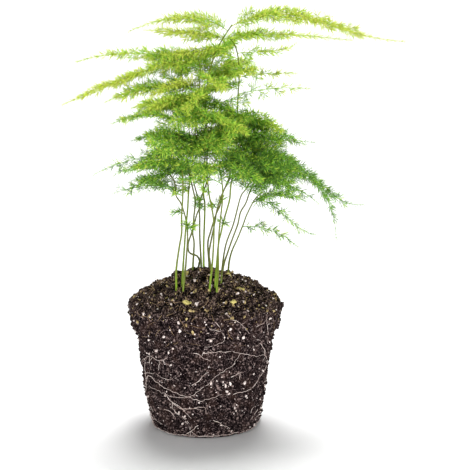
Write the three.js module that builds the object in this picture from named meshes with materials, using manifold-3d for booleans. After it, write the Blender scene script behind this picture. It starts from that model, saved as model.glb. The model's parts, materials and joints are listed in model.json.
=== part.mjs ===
// A lace fern, lifted out of its nursery pot. A ball of potting soil keeps the shape of the pot,
// with its thick lip at the top. Fine roots wrap round its side, and wiry leafy stems stand in
// holes in its mounded top. Each stem bears flat sprays of side twigs set with short needles.
// Millimetres, +Z up. The origin is the middle of the flat base, +X is to the right as the
// plant is looked at from the front, and the front faces -Y.
import * as THREE from "three";
import { mergeVertices } from "three/addons/utils/BufferGeometryUtils.js";
import Module from "manifold-3d";

const wasm = await Module();
wasm.setup();

// The soil ball, as moulded by a pot of 12 cm
const BASE_RADIUS = 40.5;
const WAIST_RADIUS = 50.5; // at the top of the tapered wall, under the lip
const LIP_RADIUS = 57;
const WAIST_HEIGHT = 70;
const RIM_HEIGHT = 93;
const MOUND_HEIGHT = 116; // the top of the mound in the middle
const BASE_ROUNDING = 5;
const SOIL_SIDES = 28;
const LUMP_DEPTH = 0.7; // how far the wall's unevenness goes in and out

// Grains of perlite and chips of bark in the soil's skin
const GRAIN_COUNT = 26;
const GRAIN_RADIUS = [0.9, 1.7];
const CHIP_RADIUS = 3.1;
const CHIPS = [[21, -39], [26, -22], [-12, -43], [-14, -2], [17, -4]]; // places on the mound

// The stems and what grows on them
const CANE_RADIUS = [0.8, 0.55]; // at the soil and at the tip
const CANE_SIDES = 4;
const FOOT_RISE = 1.5; // above the soil, before a cane begins to lean
const HOLE_CLEARANCE = 0.65;
const HOLE_FLOOR = 92; // the height that every cane ends at, inside the soil
const SEAT_GAP = 0.3; // under the end of a cane
const ROOT_DEPTH = 1.5; // how far below the height in its table a spray is rooted
const RACHIS_RADIUS = [0.44, 0.3];
const TWIG_SPACING = 8.5; // along a rachis, with the twigs left and right by turns
const TWIG_ANGLE = [64, 42]; // from the rachis, near its root and near its tip
const TWIG_RADIUS = 0.34;
const BARE_SHARE = 0.08; // of a spray's length, before its first twig
const SHORTEST_TWIG = 7.5;
const TUFT_SPACING = 8; // along a twig
const TUFT_LENGTH = 1.1; // of the short stretch that a tuft of needles grows from
const NEEDLE_LENGTH = 5.5;
const NEEDLE_RADIUS = 0.3;
const NEEDLE_LEAN = 54; // degrees from the twig that bears it
const LAST_RING = 3.8; // from the last ring of a twig to its sharp tip
const SPRAY_STEPS = 24; // of the line of a spray
const ROLLS = [12, -20, 16, -14, 30, -12, -32, -24, 8]; // of a stem's sprays, by turns, in degrees
const CLEARANCE = 0.35; // what grows keeps this clear of what is there already

// The roots that show on the side
const ROOT_RADIUS = 0.6;
const ROOT_CLEARANCE = 0.6; // from the soil's lumpy wall
const ROOT_STEP = 9; // length of one facet along a root

const SOIL_COLOUR = 0x2f2422;
const ROOT_COLOUR = 0xd9c4b6;
const YOUNG_GREEN = 0x9fc62f;
const GREEN = 0x5f9e2c;
const OLD_GREEN = 0x3f7f2e;

// Each stem: where it leaves the soil, the points that its cane runs through, and its sprays.
// A spray is [height on the cane, heading, length, three climbs, width]. Heading is in degrees
// from +X towards +Y. The climbs are degrees above level, at its root, middle and tip. The width
// is the length of the longest side twigs.
const STEMS = [
  {
    name: "leafy_stem_01",
    colour: YOUNG_GREEN,
    foot: [-1, 3],
    cane: [[-1, 4, 134], [0, 2, 163], [-1, 1, 175], [1, -2, 212], [1, -2, 237],
      [3, -2, 256], [8, -2, 274], [14, -2, 285], [20, -2, 294]],
    sprays: [
      [294, -4, 126, 34, -15, -1, 17],
      [291, 176, 74, 38, -4, -22, 14],
      [287, 188, 56, 10, 4, 4, 12],
      [284, 8, 94, 14, -2, -6, 13],
      [240, 221, 58, 15, -5, -15, 18],
      [226, 306, 50, 15, -5, -25, 18],
      [272, 82, 58, 25, 0, -20, 16],
    ],
  },
  {
    name: "leafy_stem_02",
    colour: YOUNG_GREEN,
    foot: [8, -24],
    cane: [[10, -16, 137], [12, -12, 146], [14, -12, 155], [18, -10, 169],
      [19, -9, 179], [23, -6, 205], [24, 0, 240], [25, 0, 256], [24, 2, 272], [21, 3, 281],
      [17, 4, 285]],
    sprays: [
      [285, 168, 46, 10, 6, 0, 8],
      [275, 3, 43, 8, 4, 30, 10],
      [271, 200, 56, 26, 2, -10, 14],
      [258, -12, 42, 14, 4, -2, 7],
      [246, 4, 52, 14, 4, -6, 8],
      [250, 140, 36, 6, -6, -22, 15],
      [228, 328, 38, 12, -10, -30, 17],
      [214, 20, 40, 12, -10, -30, 16],
      [262, 284, 34, 14, 0, -12, 11],
    ],
  },
  {
    name: "leafy_stem_03",
    colour: YOUNG_GREEN,
    foot: [-16, -22],
    cane: [[-14, -18, 141], [-13, -16, 153], [-12, -14, 163], [-11, -11, 178],
      [-7, -6, 212], [-4, -4, 242], [-3, -4, 262], [-4, -4, 270]],
    sprays: [
      [270, 192, 102, -2, -19, -23, 16],
      [265, 172, 92, 24, 2, -18, 12],
      [258, 50, 46, 18, 0, -10, 14],
      [252, 200, 70, 10, -8, -24, 18],
      [246, 262, 46, 5, -10, -40, 15],
      [238, 150, 58, 15, -5, -20, 18],
      [262, 108, 54, 20, 0, -15, 16],
    ],
  },
  {
    name: "leafy_stem_04",
    colour: GREEN,
    foot: [4, -30],
    cane: [[6, -26, 128], [7, -22, 150], [6, -20, 162], [3, -17, 178],
      [2, -14, 200], [5, -12, 222], [8, -11, 240]],
    sprays: [
      [240, 320, 30, 18, 0, -20, 13],
      [232, 236, 50, 10, -5, -20, 18],
      [220, 284, 46, 5, -10, -25, 18],
      [205, 350, 48, 5, -10, -30, 18],
      [212, 262, 40, 14, 0, -20, 17],
    ],
  },
  {
    name: "leafy_stem_05",
    colour: OLD_GREEN,
    foot: [12, -19],
    cane: [[15, -11, 135], [21, -9, 152], [26, -8, 171], [30, -8, 177],
      [38, -8, 190]],
    sprays: [
      [190, -3, 88, 54, -38, 6, 15],
      [183, 40, 54, 24, -6, -34, 18],
      [179, 326, 48, 36, -2, -28, 15],
    ],
  },
  {
    name: "leafy_stem_06",
    colour: OLD_GREEN,
    foot: [13, 6],
    cane: [[17, 5, 129], [20, 4, 138], [24, 4, 149], [26, 4, 158], [30, 4, 165],
      [34, 5, 176], [42, 8, 190]],
    sprays: [
      [190, 14, 92, 20, -46, -88, 13],
      [184, 75, 56, 20, -5, -35, 18],
      [178, 350, 52, 24, -14, -40, 12],
    ],
  },
  {
    name: "leafy_stem_07",
    colour: GREEN,
    foot: [17, 10],
    cane: [[19, 9, 126], [24, 9, 138], [28, 9, 148], [31, 10, 156], [37, 12, 167],
      [43, 13, 172]],
    sprays: [
      [168, 352, 52, 0, -42, -10, 9],
      [165, 34, 50, 30, -5, -25, 14],
      [148, -10, 44, 6, -18, -44, 8],
    ],
  },
  {
    name: "leafy_stem_08",
    colour: GREEN,
    foot: [-20, -26],
    cane: [[-20, -26, 121], [-18, -25, 136], [-16, -25, 148], [-16, -25, 159],
      [-15, -26, 174], [-15, -26, 190], [-17, -27, 210], [-18, -27, 230]],
    sprays: [
      [230, 184, 47, 20, -2, -28, 16],
      [214, 250, 46, 10, -5, -25, 18],
      [199, 212, 42, 14, -2, -30, 15],
      [194, 300, 46, 28, 4, -20, 15],
    ],
  },
  {
    name: "leafy_stem_09",
    colour: OLD_GREEN,
    foot: [-15, -28],
    cane: [[-13, -24, 127], [-12, -21, 150], [-16, -20, 167], [-20, -20, 174],
      [-21, -20, 184], [-26, -20, 191]],
    sprays: [
      [191, 180, 40, 25, 0, -30, 12],
      [181, 200, 46, 14, -2, -20, 11],
      [176, 140, 46, 32, 6, -10, 12],
    ],
  },
  {
    name: "leafy_stem_10",
    colour: OLD_GREEN,
    foot: [-5, 7],
    cane: [[-4, 7, 121], [-6, 7, 125], [-9, 7, 126], [-12, 7, 128],
      [-12.5, 7, 134], [-10, 7, 142], [-8, 7, 149], [-6, 7, 156], [-4, 7, 163], [-7, 7, 175],
      [-10, 8, 186]],
    sprays: [
      [186, 165, 46, 30, 5, -30, 15],
      [179, 194, 48, 14, 2, -22, 12],
      [182, 95, 48, 24, 4, -14, 16],
    ],
  },
  {
    name: "leafy_stem_11",
    colour: OLD_GREEN,
    foot: [-9, 3],
    cane: [[-8, 3, 135], [-9, 2, 143], [-8, 1, 155], [-7, 0, 167], [-9, -1, 178],
      [-12, -2, 192], [-14, -2, 212]],
    sprays: [
      [212, 178, 40, 30, 0, -25, 15],
      [203, 184, 68, 4, -12, -26, 11],
      [190, 225, 50, 10, -5, -25, 18],
    ],
  },
  {
    name: "leafy_stem_12",
    colour: OLD_GREEN,
    foot: [-3, 11],
    cane: [[-4, 11, 138], [-4, 11, 152], [-4, 11, 164], [1, 9, 178], [8, 8, 196],
      [12, 8, 214]],
    sprays: [
      [214, 268, 40, 25, 0, -20, 16],
      [206, 84, 56, 15, 0, -20, 18],
      [192, 40, 52, 10, -5, -25, 18],
    ],
  },
  {
    name: "leafy_stem_13",
    colour: OLD_GREEN,
    foot: [3, 7],
    cane: [[2, 6, 134], [4, 6, 143], [8, 5, 156], [11, 4, 163], [13, 3, 172],
      [17, 2, 182], [25, 3, 205], [31, 4, 222]],
    sprays: [
      [222, 6, 46, 16, -25, -20, 14],
      [214, 26, 60, 4, -8, -6, 13],
      [205, 348, 48, 10, -12, -45, 18],
      [194, 55, 54, 10, -5, -30, 18],
    ],
  },
  {
    name: "leafy_stem_14",
    colour: OLD_GREEN,
    foot: [4, 1],
    cane: [[3, 0, 128], [5, -1, 140], [7, -5, 150], [9, -12, 162], [13, -17, 175],
      [21, -19, 190], [30, -20, 200]],
    sprays: [
      [200, 330, 52, 20, -10, -40, 18],
      [191, 278, 44, 34, 6, -14, 15],
      [184, 340, 52, 28, -2, -28, 14],
    ],
  },
  {
    name: "leafy_stem_15",
    colour: GREEN,
    foot: [9, -30],
    cane: [[10, -24, 122], [10, -22, 136], [11, -21, 152], [13, -22, 170],
      [13, -24, 182], [11, -26, 194]],
    sprays: [
      [194, 250, 44, 20, 0, -20, 14],
      [188, 312, 42, 24, 4, -14, 14],
      [184, 215, 38, 34, 8, -8, 11],
    ],
  },
];

// Each root that shows, as the places that it runs through: [angle round the soil ball, height].
// The first runs all the way round near the base. The others reach it or join one another, so that
// they hold together as one net.
const ROOTS = [
  [[-180, 5], [-135, 4.5], [-90, 5], [-45, 4.5], [0, 5], [45, 4.5], [90, 5], [135, 4.5], [180, 5]],
  [[-176, 5], [-168, 20], [-159, 33], [-136, 33], [-118, 31], [-103, 32], [-91, 40], [-78, 49],
    [-64, 57], [-60, 64]],
  [[-48, 68], [-34, 66], [-25, 57], [-14, 48], [0, 33], [12, 5]],
  [[-91, 66], [-81, 67], [-68, 66], [-55, 63], [-38, 59], [-25, 57]],
  [[-61, 33], [-43, 35], [-36, 40], [-23, 46], [-14, 48]],
  [[-128, 32], [-121, 26], [-110, 22], [-98, 24], [-90, 22]],
  [[-121, 26], [-120, 19], [-111, 16], [-105, 9], [-105, 5]],
  [[-159, 33], [-151, 42], [-135, 38], [-119, 35], [-103, 32]],
  [[-159, 33], [-157, 50], [-145, 58], [-131, 57], [-121, 61]],
  [[-103, 32], [-91, 30], [-84, 32], [-74, 34]],
  [[30, 62], [46, 50], [58, 30], [72, 5]],
  [[160, 64], [140, 52], [122, 34], [104, 5]],
  [[96, 44], [116, 40], [146, 24], [164, 5]],
];

// An even, repeatable draw: share(i) is between 0 and 1, and never close to its neighbours.
const GOLDEN = (Math.sqrt(5) - 1) / 2;
const share = (i) => (i * GOLDEN) % 1;
const between = ([low, high], s) => low + (high - low) * s;
const radians = THREE.MathUtils.degToRad;

function solid(geometry) {
  const bare = geometry.clone().deleteAttribute("normal").deleteAttribute("uv");
  const merged = mergeVertices(bare, 1e-3);
  return new wasm.Manifold(
    new wasm.Mesh({
      numProp: 3,
      vertProperties: merged.attributes.position.array,
      triVerts: new Uint32Array(merged.index.array),
    }),
  );
}

function geometryOf(body) {
  const { numProp, vertProperties, triVerts } = body.getMesh();
  const places = new Float32Array((vertProperties.length / numProp) * 3);
  for (let i = 0; i < places.length / 3; i++) {
    places.set(vertProperties.subarray(i * numProp, i * numProp + 3), i * 3);
  }
  return new THREE.BufferGeometry()
    .setAttribute("position", new THREE.BufferAttribute(places, 3))
    .setIndex(new THREE.BufferAttribute(triVerts, 1));
}

function piece(name, body, colour) {
  const material = new THREE.MeshStandardMaterial({ color: colour, roughness: 0.8 });
  const mesh = new THREE.Mesh(geometryOf(body), material);
  mesh.name = name;
  return mesh;
}

// The unevenness of the soil's skin, in and out, from -1 to 1.
const lumps = (angle, height) =>
  0.5 * Math.sin(5 * angle + 0.11 * height) +
  0.3 * Math.sin(9 * angle - 0.17 * height + 1.3) +
  0.2 * Math.sin(14 * angle + 0.23 * height + 0.4);

// The soil ball's outline from the middle of its base, up its wall and over the mound.
const SOIL_OUTLINE = [
  [0, 0],
  [BASE_RADIUS - BASE_ROUNDING, 0],
  [BASE_RADIUS, BASE_ROUNDING],
  [between([BASE_RADIUS, WAIST_RADIUS], 0.33), 26],
  [between([BASE_RADIUS, WAIST_RADIUS], 0.66), 48],
  [WAIST_RADIUS, WAIST_HEIGHT],
  [LIP_RADIUS - 3, WAIST_HEIGHT + 4],
  [LIP_RADIUS, RIM_HEIGHT - 2],
  [LIP_RADIUS - 4, RIM_HEIGHT + 2],
];
const MOUND_RADII = [44, 32, 20, 9, 0];
const moundHeight = (radius) => {
  const fall = Math.pow(radius / (LIP_RADIUS - 4), 1.5);
  return between([MOUND_HEIGHT, RIM_HEIGHT + 2], fall);
};

function wallRadius(height) {
  const wall = SOIL_OUTLINE.slice(2);
  const i = Math.max(1, wall.findIndex(([, top]) => top >= height));
  const [[r0, z0], [r1, z1]] = [wall[i - 1], wall[i]];
  return between([r0, r1], (height - z0) / (z1 - z0));
}

// The line of a spray, which bends only up and down, through its three climbs. Its flat plane is
// rolled about that line.
class SprayLine extends THREE.Curve {
  constructor(root, [heading, length, ...climbs], roll) {
    super();
    Object.assign(this, { length, climbs, roll: radians(roll) });
    this.heading = radians(heading);
    this.points = [root];
    for (let i = 0; i < SPRAY_STEPS; i++) {
      const step = this.across((i + 0.5) / SPRAY_STEPS, 0).multiplyScalar(length / SPRAY_STEPS);
      this.points.push(step.add(this.points[i]));
    }
  }

  getPoint(s) {
    const i = Math.min(SPRAY_STEPS - 1, Math.floor(s * SPRAY_STEPS));
    return this.points[i].clone().lerp(this.points[i + 1], s * SPRAY_STEPS - i);
  }

  // The direction in the spray's flat plane that is turned from its line by an angle.
  across(s, turn) {
    const [root, middle, tip] = this.climbs;
    const climb = radians(
      2 * root * (s - 0.5) * (s - 1) + 4 * middle * s * (1 - s) + 2 * tip * s * (s - 0.5),
    );
    const along = new THREE.Vector3(
      Math.cos(this.heading) * Math.cos(climb),
      Math.sin(this.heading) * Math.cos(climb),
      Math.sin(climb),
    );
    const level = new THREE.Vector3(-Math.sin(this.heading), Math.cos(this.heading), 0);
    const side = level.applyAxisAngle(along, this.roll);
    return along.multiplyScalar(Math.cos(turn)).addScaledVector(side, Math.sin(turn));
  }

  // The direction square to the flat plane, upwards.
  above(s) {
    return this.across(s, 0).cross(this.across(s, Math.PI / 2));
  }
}

// How long the twigs are along a spray, as a share of its width: widest near the root.
const outline = (s) => Math.min(1, 0.5 + 2.4 * s) * Math.pow(1 - s, 0.7) * 1.15;

// A body that is grown face by face, so that it is closed as it is made. A ring is the corners
// round a limb, in anticlockwise turn as seen from the limb's tip.
class Growth {
  corners = [];
  faces = [];

  corner(point) {
    return this.corners.push(point) - 1;
  }

  middle(face) {
    const sum = new THREE.Vector3();
    face.forEach((corner) => sum.add(this.corners[corner]));
    return sum.divideScalar(3);
  }

  ring(middle, along, first, radius, sides = 3) {
    return Array.from({ length: sides }, (_, i) => {
      const way = outward(along, first, (360 * i) / sides);
      return this.corner(middle.clone().addScaledVector(way, radius));
    });
  }

  // The faces between two rings, in turn round the limb.
  band(low, high) {
    return low.flatMap((corner, i) => {
      const next = (i + 1) % low.length;
      return [[corner, high[next], high[i]], [corner, low[next], high[next]]];
    });
  }

  bare(low, high) {
    this.faces.push(...this.band(low, high));
  }

  cap(ring) {
    for (let i = 2; i < ring.length; i++) this.faces.push([ring[0], ring[i - 1], ring[i]]);
  }

  // A face drawn out to a point.
  draw([a, b, c], tip) {
    const t = this.corner(tip);
    this.faces.push([a, b, t], [b, c, t], [c, a, t]);
  }

  solid() {
    return new wasm.Manifold(
      new wasm.Mesh({
        numProp: 3,
        vertProperties: new Float32Array(this.corners.flatMap((corner) => corner.toArray())),
        triVerts: new Uint32Array(this.faces.flat()),
      }),
    );
  }
}

// A tapered tube through points. The first corner of each ring is on the side that `firstAt` gives.
function tube(points, [rootRadius, tipRadius], sides, firstAt) {
  const body = new Growth();
  const line = new THREE.CatmullRomCurve3(points, false, "catmullrom", 0.5);
  const rings = points.map((point, i) => {
    const s = i / (points.length - 1);
    const radius = between([rootRadius, tipRadius], s);
    return body.ring(point, line.getTangent(s), firstAt(point), radius, sides);
  });
  body.cap([...rings[0]].reverse());
  rings.slice(1).forEach((ring, i) => body.bare(rings[i], ring));
  body.cap(rings.at(-1));
  return body.solid();
}

// The direction square to a limb, at a turn round it from its first corner.
function outward(along, first, degrees) {
  const start = first.clone().projectOnPlane(along).normalize();
  return start.applyAxisAngle(along, radians(degrees));
}

function closestApproach(a, b) {
  const [p, q] = [a.end.clone().sub(a.start), b.end.clone().sub(b.start)];
  const gap = a.start.clone().sub(b.start);
  const [pp, qq, pq, pg, qg] = [p.dot(p), q.dot(q), p.dot(q), p.dot(gap), q.dot(gap)];
  const clamp = (x) => THREE.MathUtils.clamp(x, 0, 1);
  const spread = pp * qq - pq * pq;
  let s = spread > 1e-9 ? clamp((pq * qg - qq * pg) / spread) : 0;
  const t = clamp((pq * s + qg) / qq);
  s = clamp((pq * t - pg) / pp);
  return gap.addScaledVector(p, s).addScaledVector(q, -t).length();
}

// All that has grown so far, as straight stretches, each with the limb that it belongs to.
const grown = [];
let limbs = 0;

function stretch(start, end, radius, limb) {
  const middle = start.clone().lerp(end, 0.5);
  return { start, end, radius, limb, middle, half: start.distanceTo(end) / 2 };
}

function stretches(points, radius, limb) {
  return points.slice(1).map((end, i) => stretch(points[i], end, radius, limb));
}

function isClear(one, bearer) {
  return grown.every((other) => {
    if (other.limb === bearer || other.limb === one.limb) return true;
    const room = one.radius + other.radius + CLEARANCE;
    const apart = one.middle.distanceTo(other.middle) - one.half - other.half;
    return apart > room || closestApproach(one, other) > room;
  });
}

// Adds a stretch, unless it would touch anything but the limb that bears it.
function fits(start, end, radius, limb, bearer) {
  const one = stretch(start, end, radius, limb);
  const clear = isClear(one, bearer);
  if (clear) grown.push(one);
  return clear;
}

// A cane goes straight up its hole, and then through the points of its table.
function canePoints({ foot: [x, y], cane }) {
  return [
    new THREE.Vector3(x, y, HOLE_FLOOR),
    new THREE.Vector3(x, y, moundHeight(Math.hypot(x, y)) + FOOT_RISE),
    ...cane.map((point) => new THREE.Vector3(...point)),
  ];
}

// Where a spray is rooted, a little below the height that it comes out at.
function rootAt(points, height) {
  const i = points.findIndex((point) => point.z >= height);
  const [low, high] = [points[i - 1], points[i]];
  return low.clone().lerp(high, (height - ROOT_DEPTH - low.z) / (high.z - low.z));
}

// The line of a spray, which has to pass clear of the other canes and sprays.
function sprayLine(cane, bearer, limb, [height, ...shape], roll) {
  const line = new SprayLine(rootAt(cane, height), shape, roll);
  const parts = stretches(line.points, RACHIS_RADIUS[0], limb);
  if (!parts.every((part) => isClear(part, bearer))) {
    throw new Error(`the spray at ${height} with heading ${shape[0]} meets another`);
  }
  grown.push(...parts);
  return line;
}

// All the canes and the sprays' lines come before the twigs and needles, which give way to them.
const canes = STEMS.map((stem) => {
  const points = canePoints(stem);
  const limb = limbs++;
  grown.push(...stretches(points, CANE_RADIUS[0], limb));
  return { points, limb };
});
const plants = STEMS.map((stem, i) => {
  const sprays = stem.sprays.map((numbers, turn) => {
    const limb = limbs++;
    const roll = ROLLS[turn % ROLLS.length];
    const line = sprayLine(canes[i].points, canes[i].limb, limb, numbers, roll);
    return { line, limb, width: numbers[6] };
  });
  return { ...stem, ...canes[i], sprays };
});

// A tuft of needles on the faces round a short stretch of a limb, on those that are listed. The
// six faces look out at every sixth of a turn from 30 degrees past the first corner.
function growTuft(body, faces, along, first, bearing, limb) {
  faces.forEach((face, i) => {
    if (!face) return;
    const way = outward(along, first, 30 + 60 * i)
      .multiplyScalar(Math.sin(radians(NEEDLE_LEAN)))
      .addScaledVector(along, Math.cos(radians(NEEDLE_LEAN)));
    const root = body.middle(face);
    const tip = root.clone().addScaledVector(way, NEEDLE_LENGTH);
    const grows = bearing.includes(i) && fits(root, tip, NEEDLE_RADIUS, limb, limb);
    if (grows) body.draw(face, tip);
    else body.faces.push(face);
  });
}

// A twig grows from a face of the rachis, and bears tufts up to its own sharp tip.
function growTwig(body, face, along, length, rachis) {
  const root = body.middle(face);
  const limb = limbs++;
  if (!fits(root, root.clone().addScaledVector(along, length), TWIG_RADIUS, limb, rachis)) {
    body.faces.push(face);
    return;
  }
  const first = body.corners[face[0]].clone().sub(root);
  const tufts = Math.max(1, Math.round(length / TUFT_SPACING));
  const spacing = (length - LAST_RING) / tufts;
  const ringAt = (s) =>
    body.ring(root.clone().addScaledVector(along, s), along, first, TWIG_RADIUS);
  let ring = face;
  for (let i = 1; i <= tufts; i++) {
    const low = ringAt(i * spacing - TUFT_LENGTH);
    const high = ringAt(i * spacing);
    body.bare(ring, low);
    const bearing = i % 2 ? [0, 2, 3, 5] : [0, 1, 3, 4];
    growTuft(body, body.band(low, high), along, first, bearing, limb);
    ring = high;
  }
  body.draw(ring, root.clone().addScaledVector(along, length));
}

// A spray: its rachis, with a twig and a few needles at each station along it. The rings' first
// corners are on top, so that face 1 looks out to the right of the line and face 4 to the left.
function growSpray({ line, limb, width }, startSide) {
  const body = new Growth();
  const ringAt = (s) =>
    body.ring(line.getPoint(s), line.across(s, 0), line.above(s), between(RACHIS_RADIUS, s));
  const stations = Math.max(3, Math.round((line.length * (1 - BARE_SHARE)) / TWIG_SPACING) - 1);
  const half = TUFT_LENGTH / 2 / line.length;
  let ring = ringAt(0);
  body.cap([...ring].reverse());
  for (let i = 0; i < stations; i++) {
    const s = BARE_SHARE + ((1 - BARE_SHARE) * (i + 0.3)) / stations;
    const [low, high] = [ringAt(s - half), ringAt(s + half)];
    body.bare(ring, low);
    const onLeft = (i + startSide) % 2;
    const [twigFace, bareFace] = onLeft ? [4, 1] : [1, 4];
    const turn = radians(between(TWIG_ANGLE, s));
    const length = Math.max(SHORTEST_TWIG, width * outline(s));
    const faces = body.band(low, high);
    growTwig(body, faces[twigFace], line.across(s, onLeft ? turn : -turn), length, limb);
    delete faces[twigFace];
    growTuft(body, faces, line.across(s, 0), line.above(s), [0, 3, bareFace], limb);
    ring = high;
  }
  body.draw(ring, line.getPoint(1));
  return body.solid();
}

function leafyStem(plant) {
  const front = new THREE.Vector3(0, -1, 0);
  const cane = tube(plant.points, CANE_RADIUS, CANE_SIDES, () => front);
  return wasm.Manifold.union([cane, ...plant.sprays.map((spray, i) => growSpray(spray, i))]);
}

function soilBall() {
  const outlinePoints = [
    ...SOIL_OUTLINE,
    ...MOUND_RADII.map((radius) => [radius, moundHeight(radius)]),
  ].map(([radius, height]) => new THREE.Vector2(radius, height));
  const turned = new THREE.LatheGeometry(outlinePoints, SOIL_SIDES).rotateX(Math.PI / 2);
  const place = turned.attributes.position;
  for (let i = 0; i < place.count; i++) {
    const [x, y, z] = [place.getX(i), place.getY(i), place.getZ(i)];
    const radius = Math.hypot(x, y);
    if (z < 1 || radius < 1) continue;
    const lump = LUMP_DEPTH * lumps(Math.atan2(y, x), z);
    const onMound = z > RIM_HEIGHT;
    const grow = onMound ? 1 : 1 + lump / radius;
    place.setXYZ(i, x * grow, y * grow, onMound ? z + lump : z);
  }
  return solid(turned);
}

// Perlite grains all over the wall and lip, and the chips on the mound.
function grains() {
  const made = [];
  for (let i = 0; i < GRAIN_COUNT; i++) {
    const angle = 2 * Math.PI * share(i);
    const height = between([8, RIM_HEIGHT - 5], (i + 0.5) / GRAIN_COUNT);
    const size = between(GRAIN_RADIUS, share(i * 3 + 1));
    const grain = new THREE.OctahedronGeometry(size).rotateX(i).rotateZ(2 * i);
    const radius = wallRadius(height) + LUMP_DEPTH * lumps(angle, height) - 0.2 * size;
    const place = new THREE.Vector3(radius * Math.cos(angle), radius * Math.sin(angle), height);
    const offRoots = roots.flat().every((point) => point.distanceTo(place) > ROOT_STEP / 2 + size);
    if (offRoots) made.push(solid(grain.translate(place.x, place.y, place.z)));
  }
  CHIPS.forEach(([x, y], i) => {
    const chip = new THREE.OctahedronGeometry(CHIP_RADIUS).scale(1, 0.8, 0.6).rotateZ(i);
    chip.translate(x, y, moundHeight(Math.hypot(x, y)) + 0.6);
    made.push(solid(chip));
  });
  return made;
}

// The hole that a cane stands in, straight down from above the soil.
function holeFor({ foot: [x, y] }) {
  const radius = CANE_RADIUS[0] + HOLE_CLEARANCE;
  const height = MOUND_HEIGHT + FOOT_RISE - HOLE_FLOOR;
  const hole = new THREE.CylinderGeometry(radius, radius, height, 6).rotateX(Math.PI / 2);
  return solid(hole.translate(x, y, HOLE_FLOOR - SEAT_GAP + height / 2));
}

// A root keeps just off the lumpy wall. A degree round the ball is about as long as a millimetre.
function rootPoints(route) {
  const line = new THREE.SplineCurve(route.map((place) => new THREE.Vector2(...place)));
  return line.getSpacedPoints(Math.round(line.getLength() / ROOT_STEP)).map(({ x, y: height }) => {
    const angle = radians(x);
    const lump = LUMP_DEPTH * lumps(angle, height);
    const radius = wallRadius(height) + lump + ROOT_CLEARANCE + ROOT_RADIUS;
    return new THREE.Vector3(radius * Math.cos(angle), radius * Math.sin(angle), height);
  });
}

const roots = ROOTS.map(rootPoints);

function rootNet() {
  const outwards = ({ x, y }) => new THREE.Vector3(x, y, 0);
  const radii = [ROOT_RADIUS, 0.6 * ROOT_RADIUS];
  return wasm.Manifold.union(roots.map((points) => tube(points, radii, 3, outwards)));
}

const fern = new THREE.Group();
fern.name = "lace_fern";

const soil = wasm.Manifold.union([soilBall(), ...grains()]);
const holes = wasm.Manifold.union(STEMS.map(holeFor));
fern.add(piece("soil_ball", soil.subtract(holes), SOIL_COLOUR));
fern.add(piece("root_net", rootNet(), ROOT_COLOUR));
plants.forEach((plant) => {
  fern.add(piece(plant.name, leafyStem(plant), plant.colour));
});

export default fern;
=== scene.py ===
import json
import math
import random

import bmesh
import bpy
import numpy
from mathutils import Matrix, Quaternion, Vector, noise
from mathutils.bvhtree import BVHTree

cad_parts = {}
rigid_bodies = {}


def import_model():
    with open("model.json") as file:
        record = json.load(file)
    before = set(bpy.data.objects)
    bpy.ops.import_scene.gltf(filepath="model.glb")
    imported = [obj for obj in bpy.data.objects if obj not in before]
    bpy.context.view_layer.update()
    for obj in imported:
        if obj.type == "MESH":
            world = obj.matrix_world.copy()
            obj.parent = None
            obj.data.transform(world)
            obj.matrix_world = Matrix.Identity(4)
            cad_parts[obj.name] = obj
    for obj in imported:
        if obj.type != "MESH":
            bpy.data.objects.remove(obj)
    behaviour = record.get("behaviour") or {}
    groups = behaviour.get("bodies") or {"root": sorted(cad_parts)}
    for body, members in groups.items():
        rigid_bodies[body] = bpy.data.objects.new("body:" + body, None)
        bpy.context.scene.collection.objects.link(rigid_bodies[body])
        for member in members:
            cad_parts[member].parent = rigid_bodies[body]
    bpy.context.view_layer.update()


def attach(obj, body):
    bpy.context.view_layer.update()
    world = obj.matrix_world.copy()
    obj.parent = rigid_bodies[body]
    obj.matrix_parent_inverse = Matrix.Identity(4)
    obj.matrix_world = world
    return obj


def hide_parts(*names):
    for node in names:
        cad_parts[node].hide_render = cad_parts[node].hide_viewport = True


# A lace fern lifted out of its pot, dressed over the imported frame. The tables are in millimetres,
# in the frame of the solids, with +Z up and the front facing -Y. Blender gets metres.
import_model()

MM = 0.001
UP = Vector((0, 0, 1))

# The camera of the photograph, for a picture of 470 by 470 pixels
PICTURE_SIDE = 470
MIDDLE_PIXEL = 205  # across, at the middle of the soil ball
CAMERA_PLACE = Vector((0.022, -1.0, 0.320))
CAMERA_PITCH = 10.1  # degrees below level
LENS = 106.5
SENSOR = 36.0

# The soil ball, as moulded by a pot of 12 cm
BASE_RADIUS = 40.5
WAIST_RADIUS = 50.5
LIP_RADIUS = 57.0
WAIST_HEIGHT = 70.0
RIM_HEIGHT = 93.0
MOUND_HEIGHT = 116.0
BASE_ROUNDING = 5.0
LUMP_DEPTH = 0.7
ROOT_LIFT = 0.35  # of the fine roots, which lie on the crumbs
SAME_PLACE = 1e-6  # metres, within which faces of the skin meet
OUTSIDE, OVERHEAD = 0.1, 0.2  # metres, from where a place on the soil is looked for
LOW_ROOT_DROP = 3.0  # of the root that runs round near the base, under its place in the solids
CHIPS = [(21, -39), (26, -22), (-12, -43), (-14, -2), (17, -4)]  # where they lie on the mound
CHIP_RADIUS = 3.1
CHIP_LIFT = 0.8
CHIP_LEAN = 0.35
SKIN_STEP = 1.15
SKIN_SIDES = 300
CRUMBLES = [(6, 1.0), (2.3, 1.0), (1.2, 0.5)]  # of the skin: how wide they are, and how deep
FLAT_BASE = 1.2  # the height up to which the skin is the base
BASE_CRUMBLE = 0.25  # share of their depth on the base
MOUND_CRUMBLE = 1.7  # and on the mound
HEAP_WIDTH = 7  # of the mound's larger lumps
HEAP_DEPTH = 3.0
STRAY_ROOTS = 60
ROOT_STEP = 1.8
ROOT_TAPER = 0.45
MAIN_ROOT_STEP = 6
FIBRES = 260
FIBRE_HEIGHTS = (72, 175)
FIBRE_PARTS = 4
FIBRE_STEP = 1.6

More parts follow.
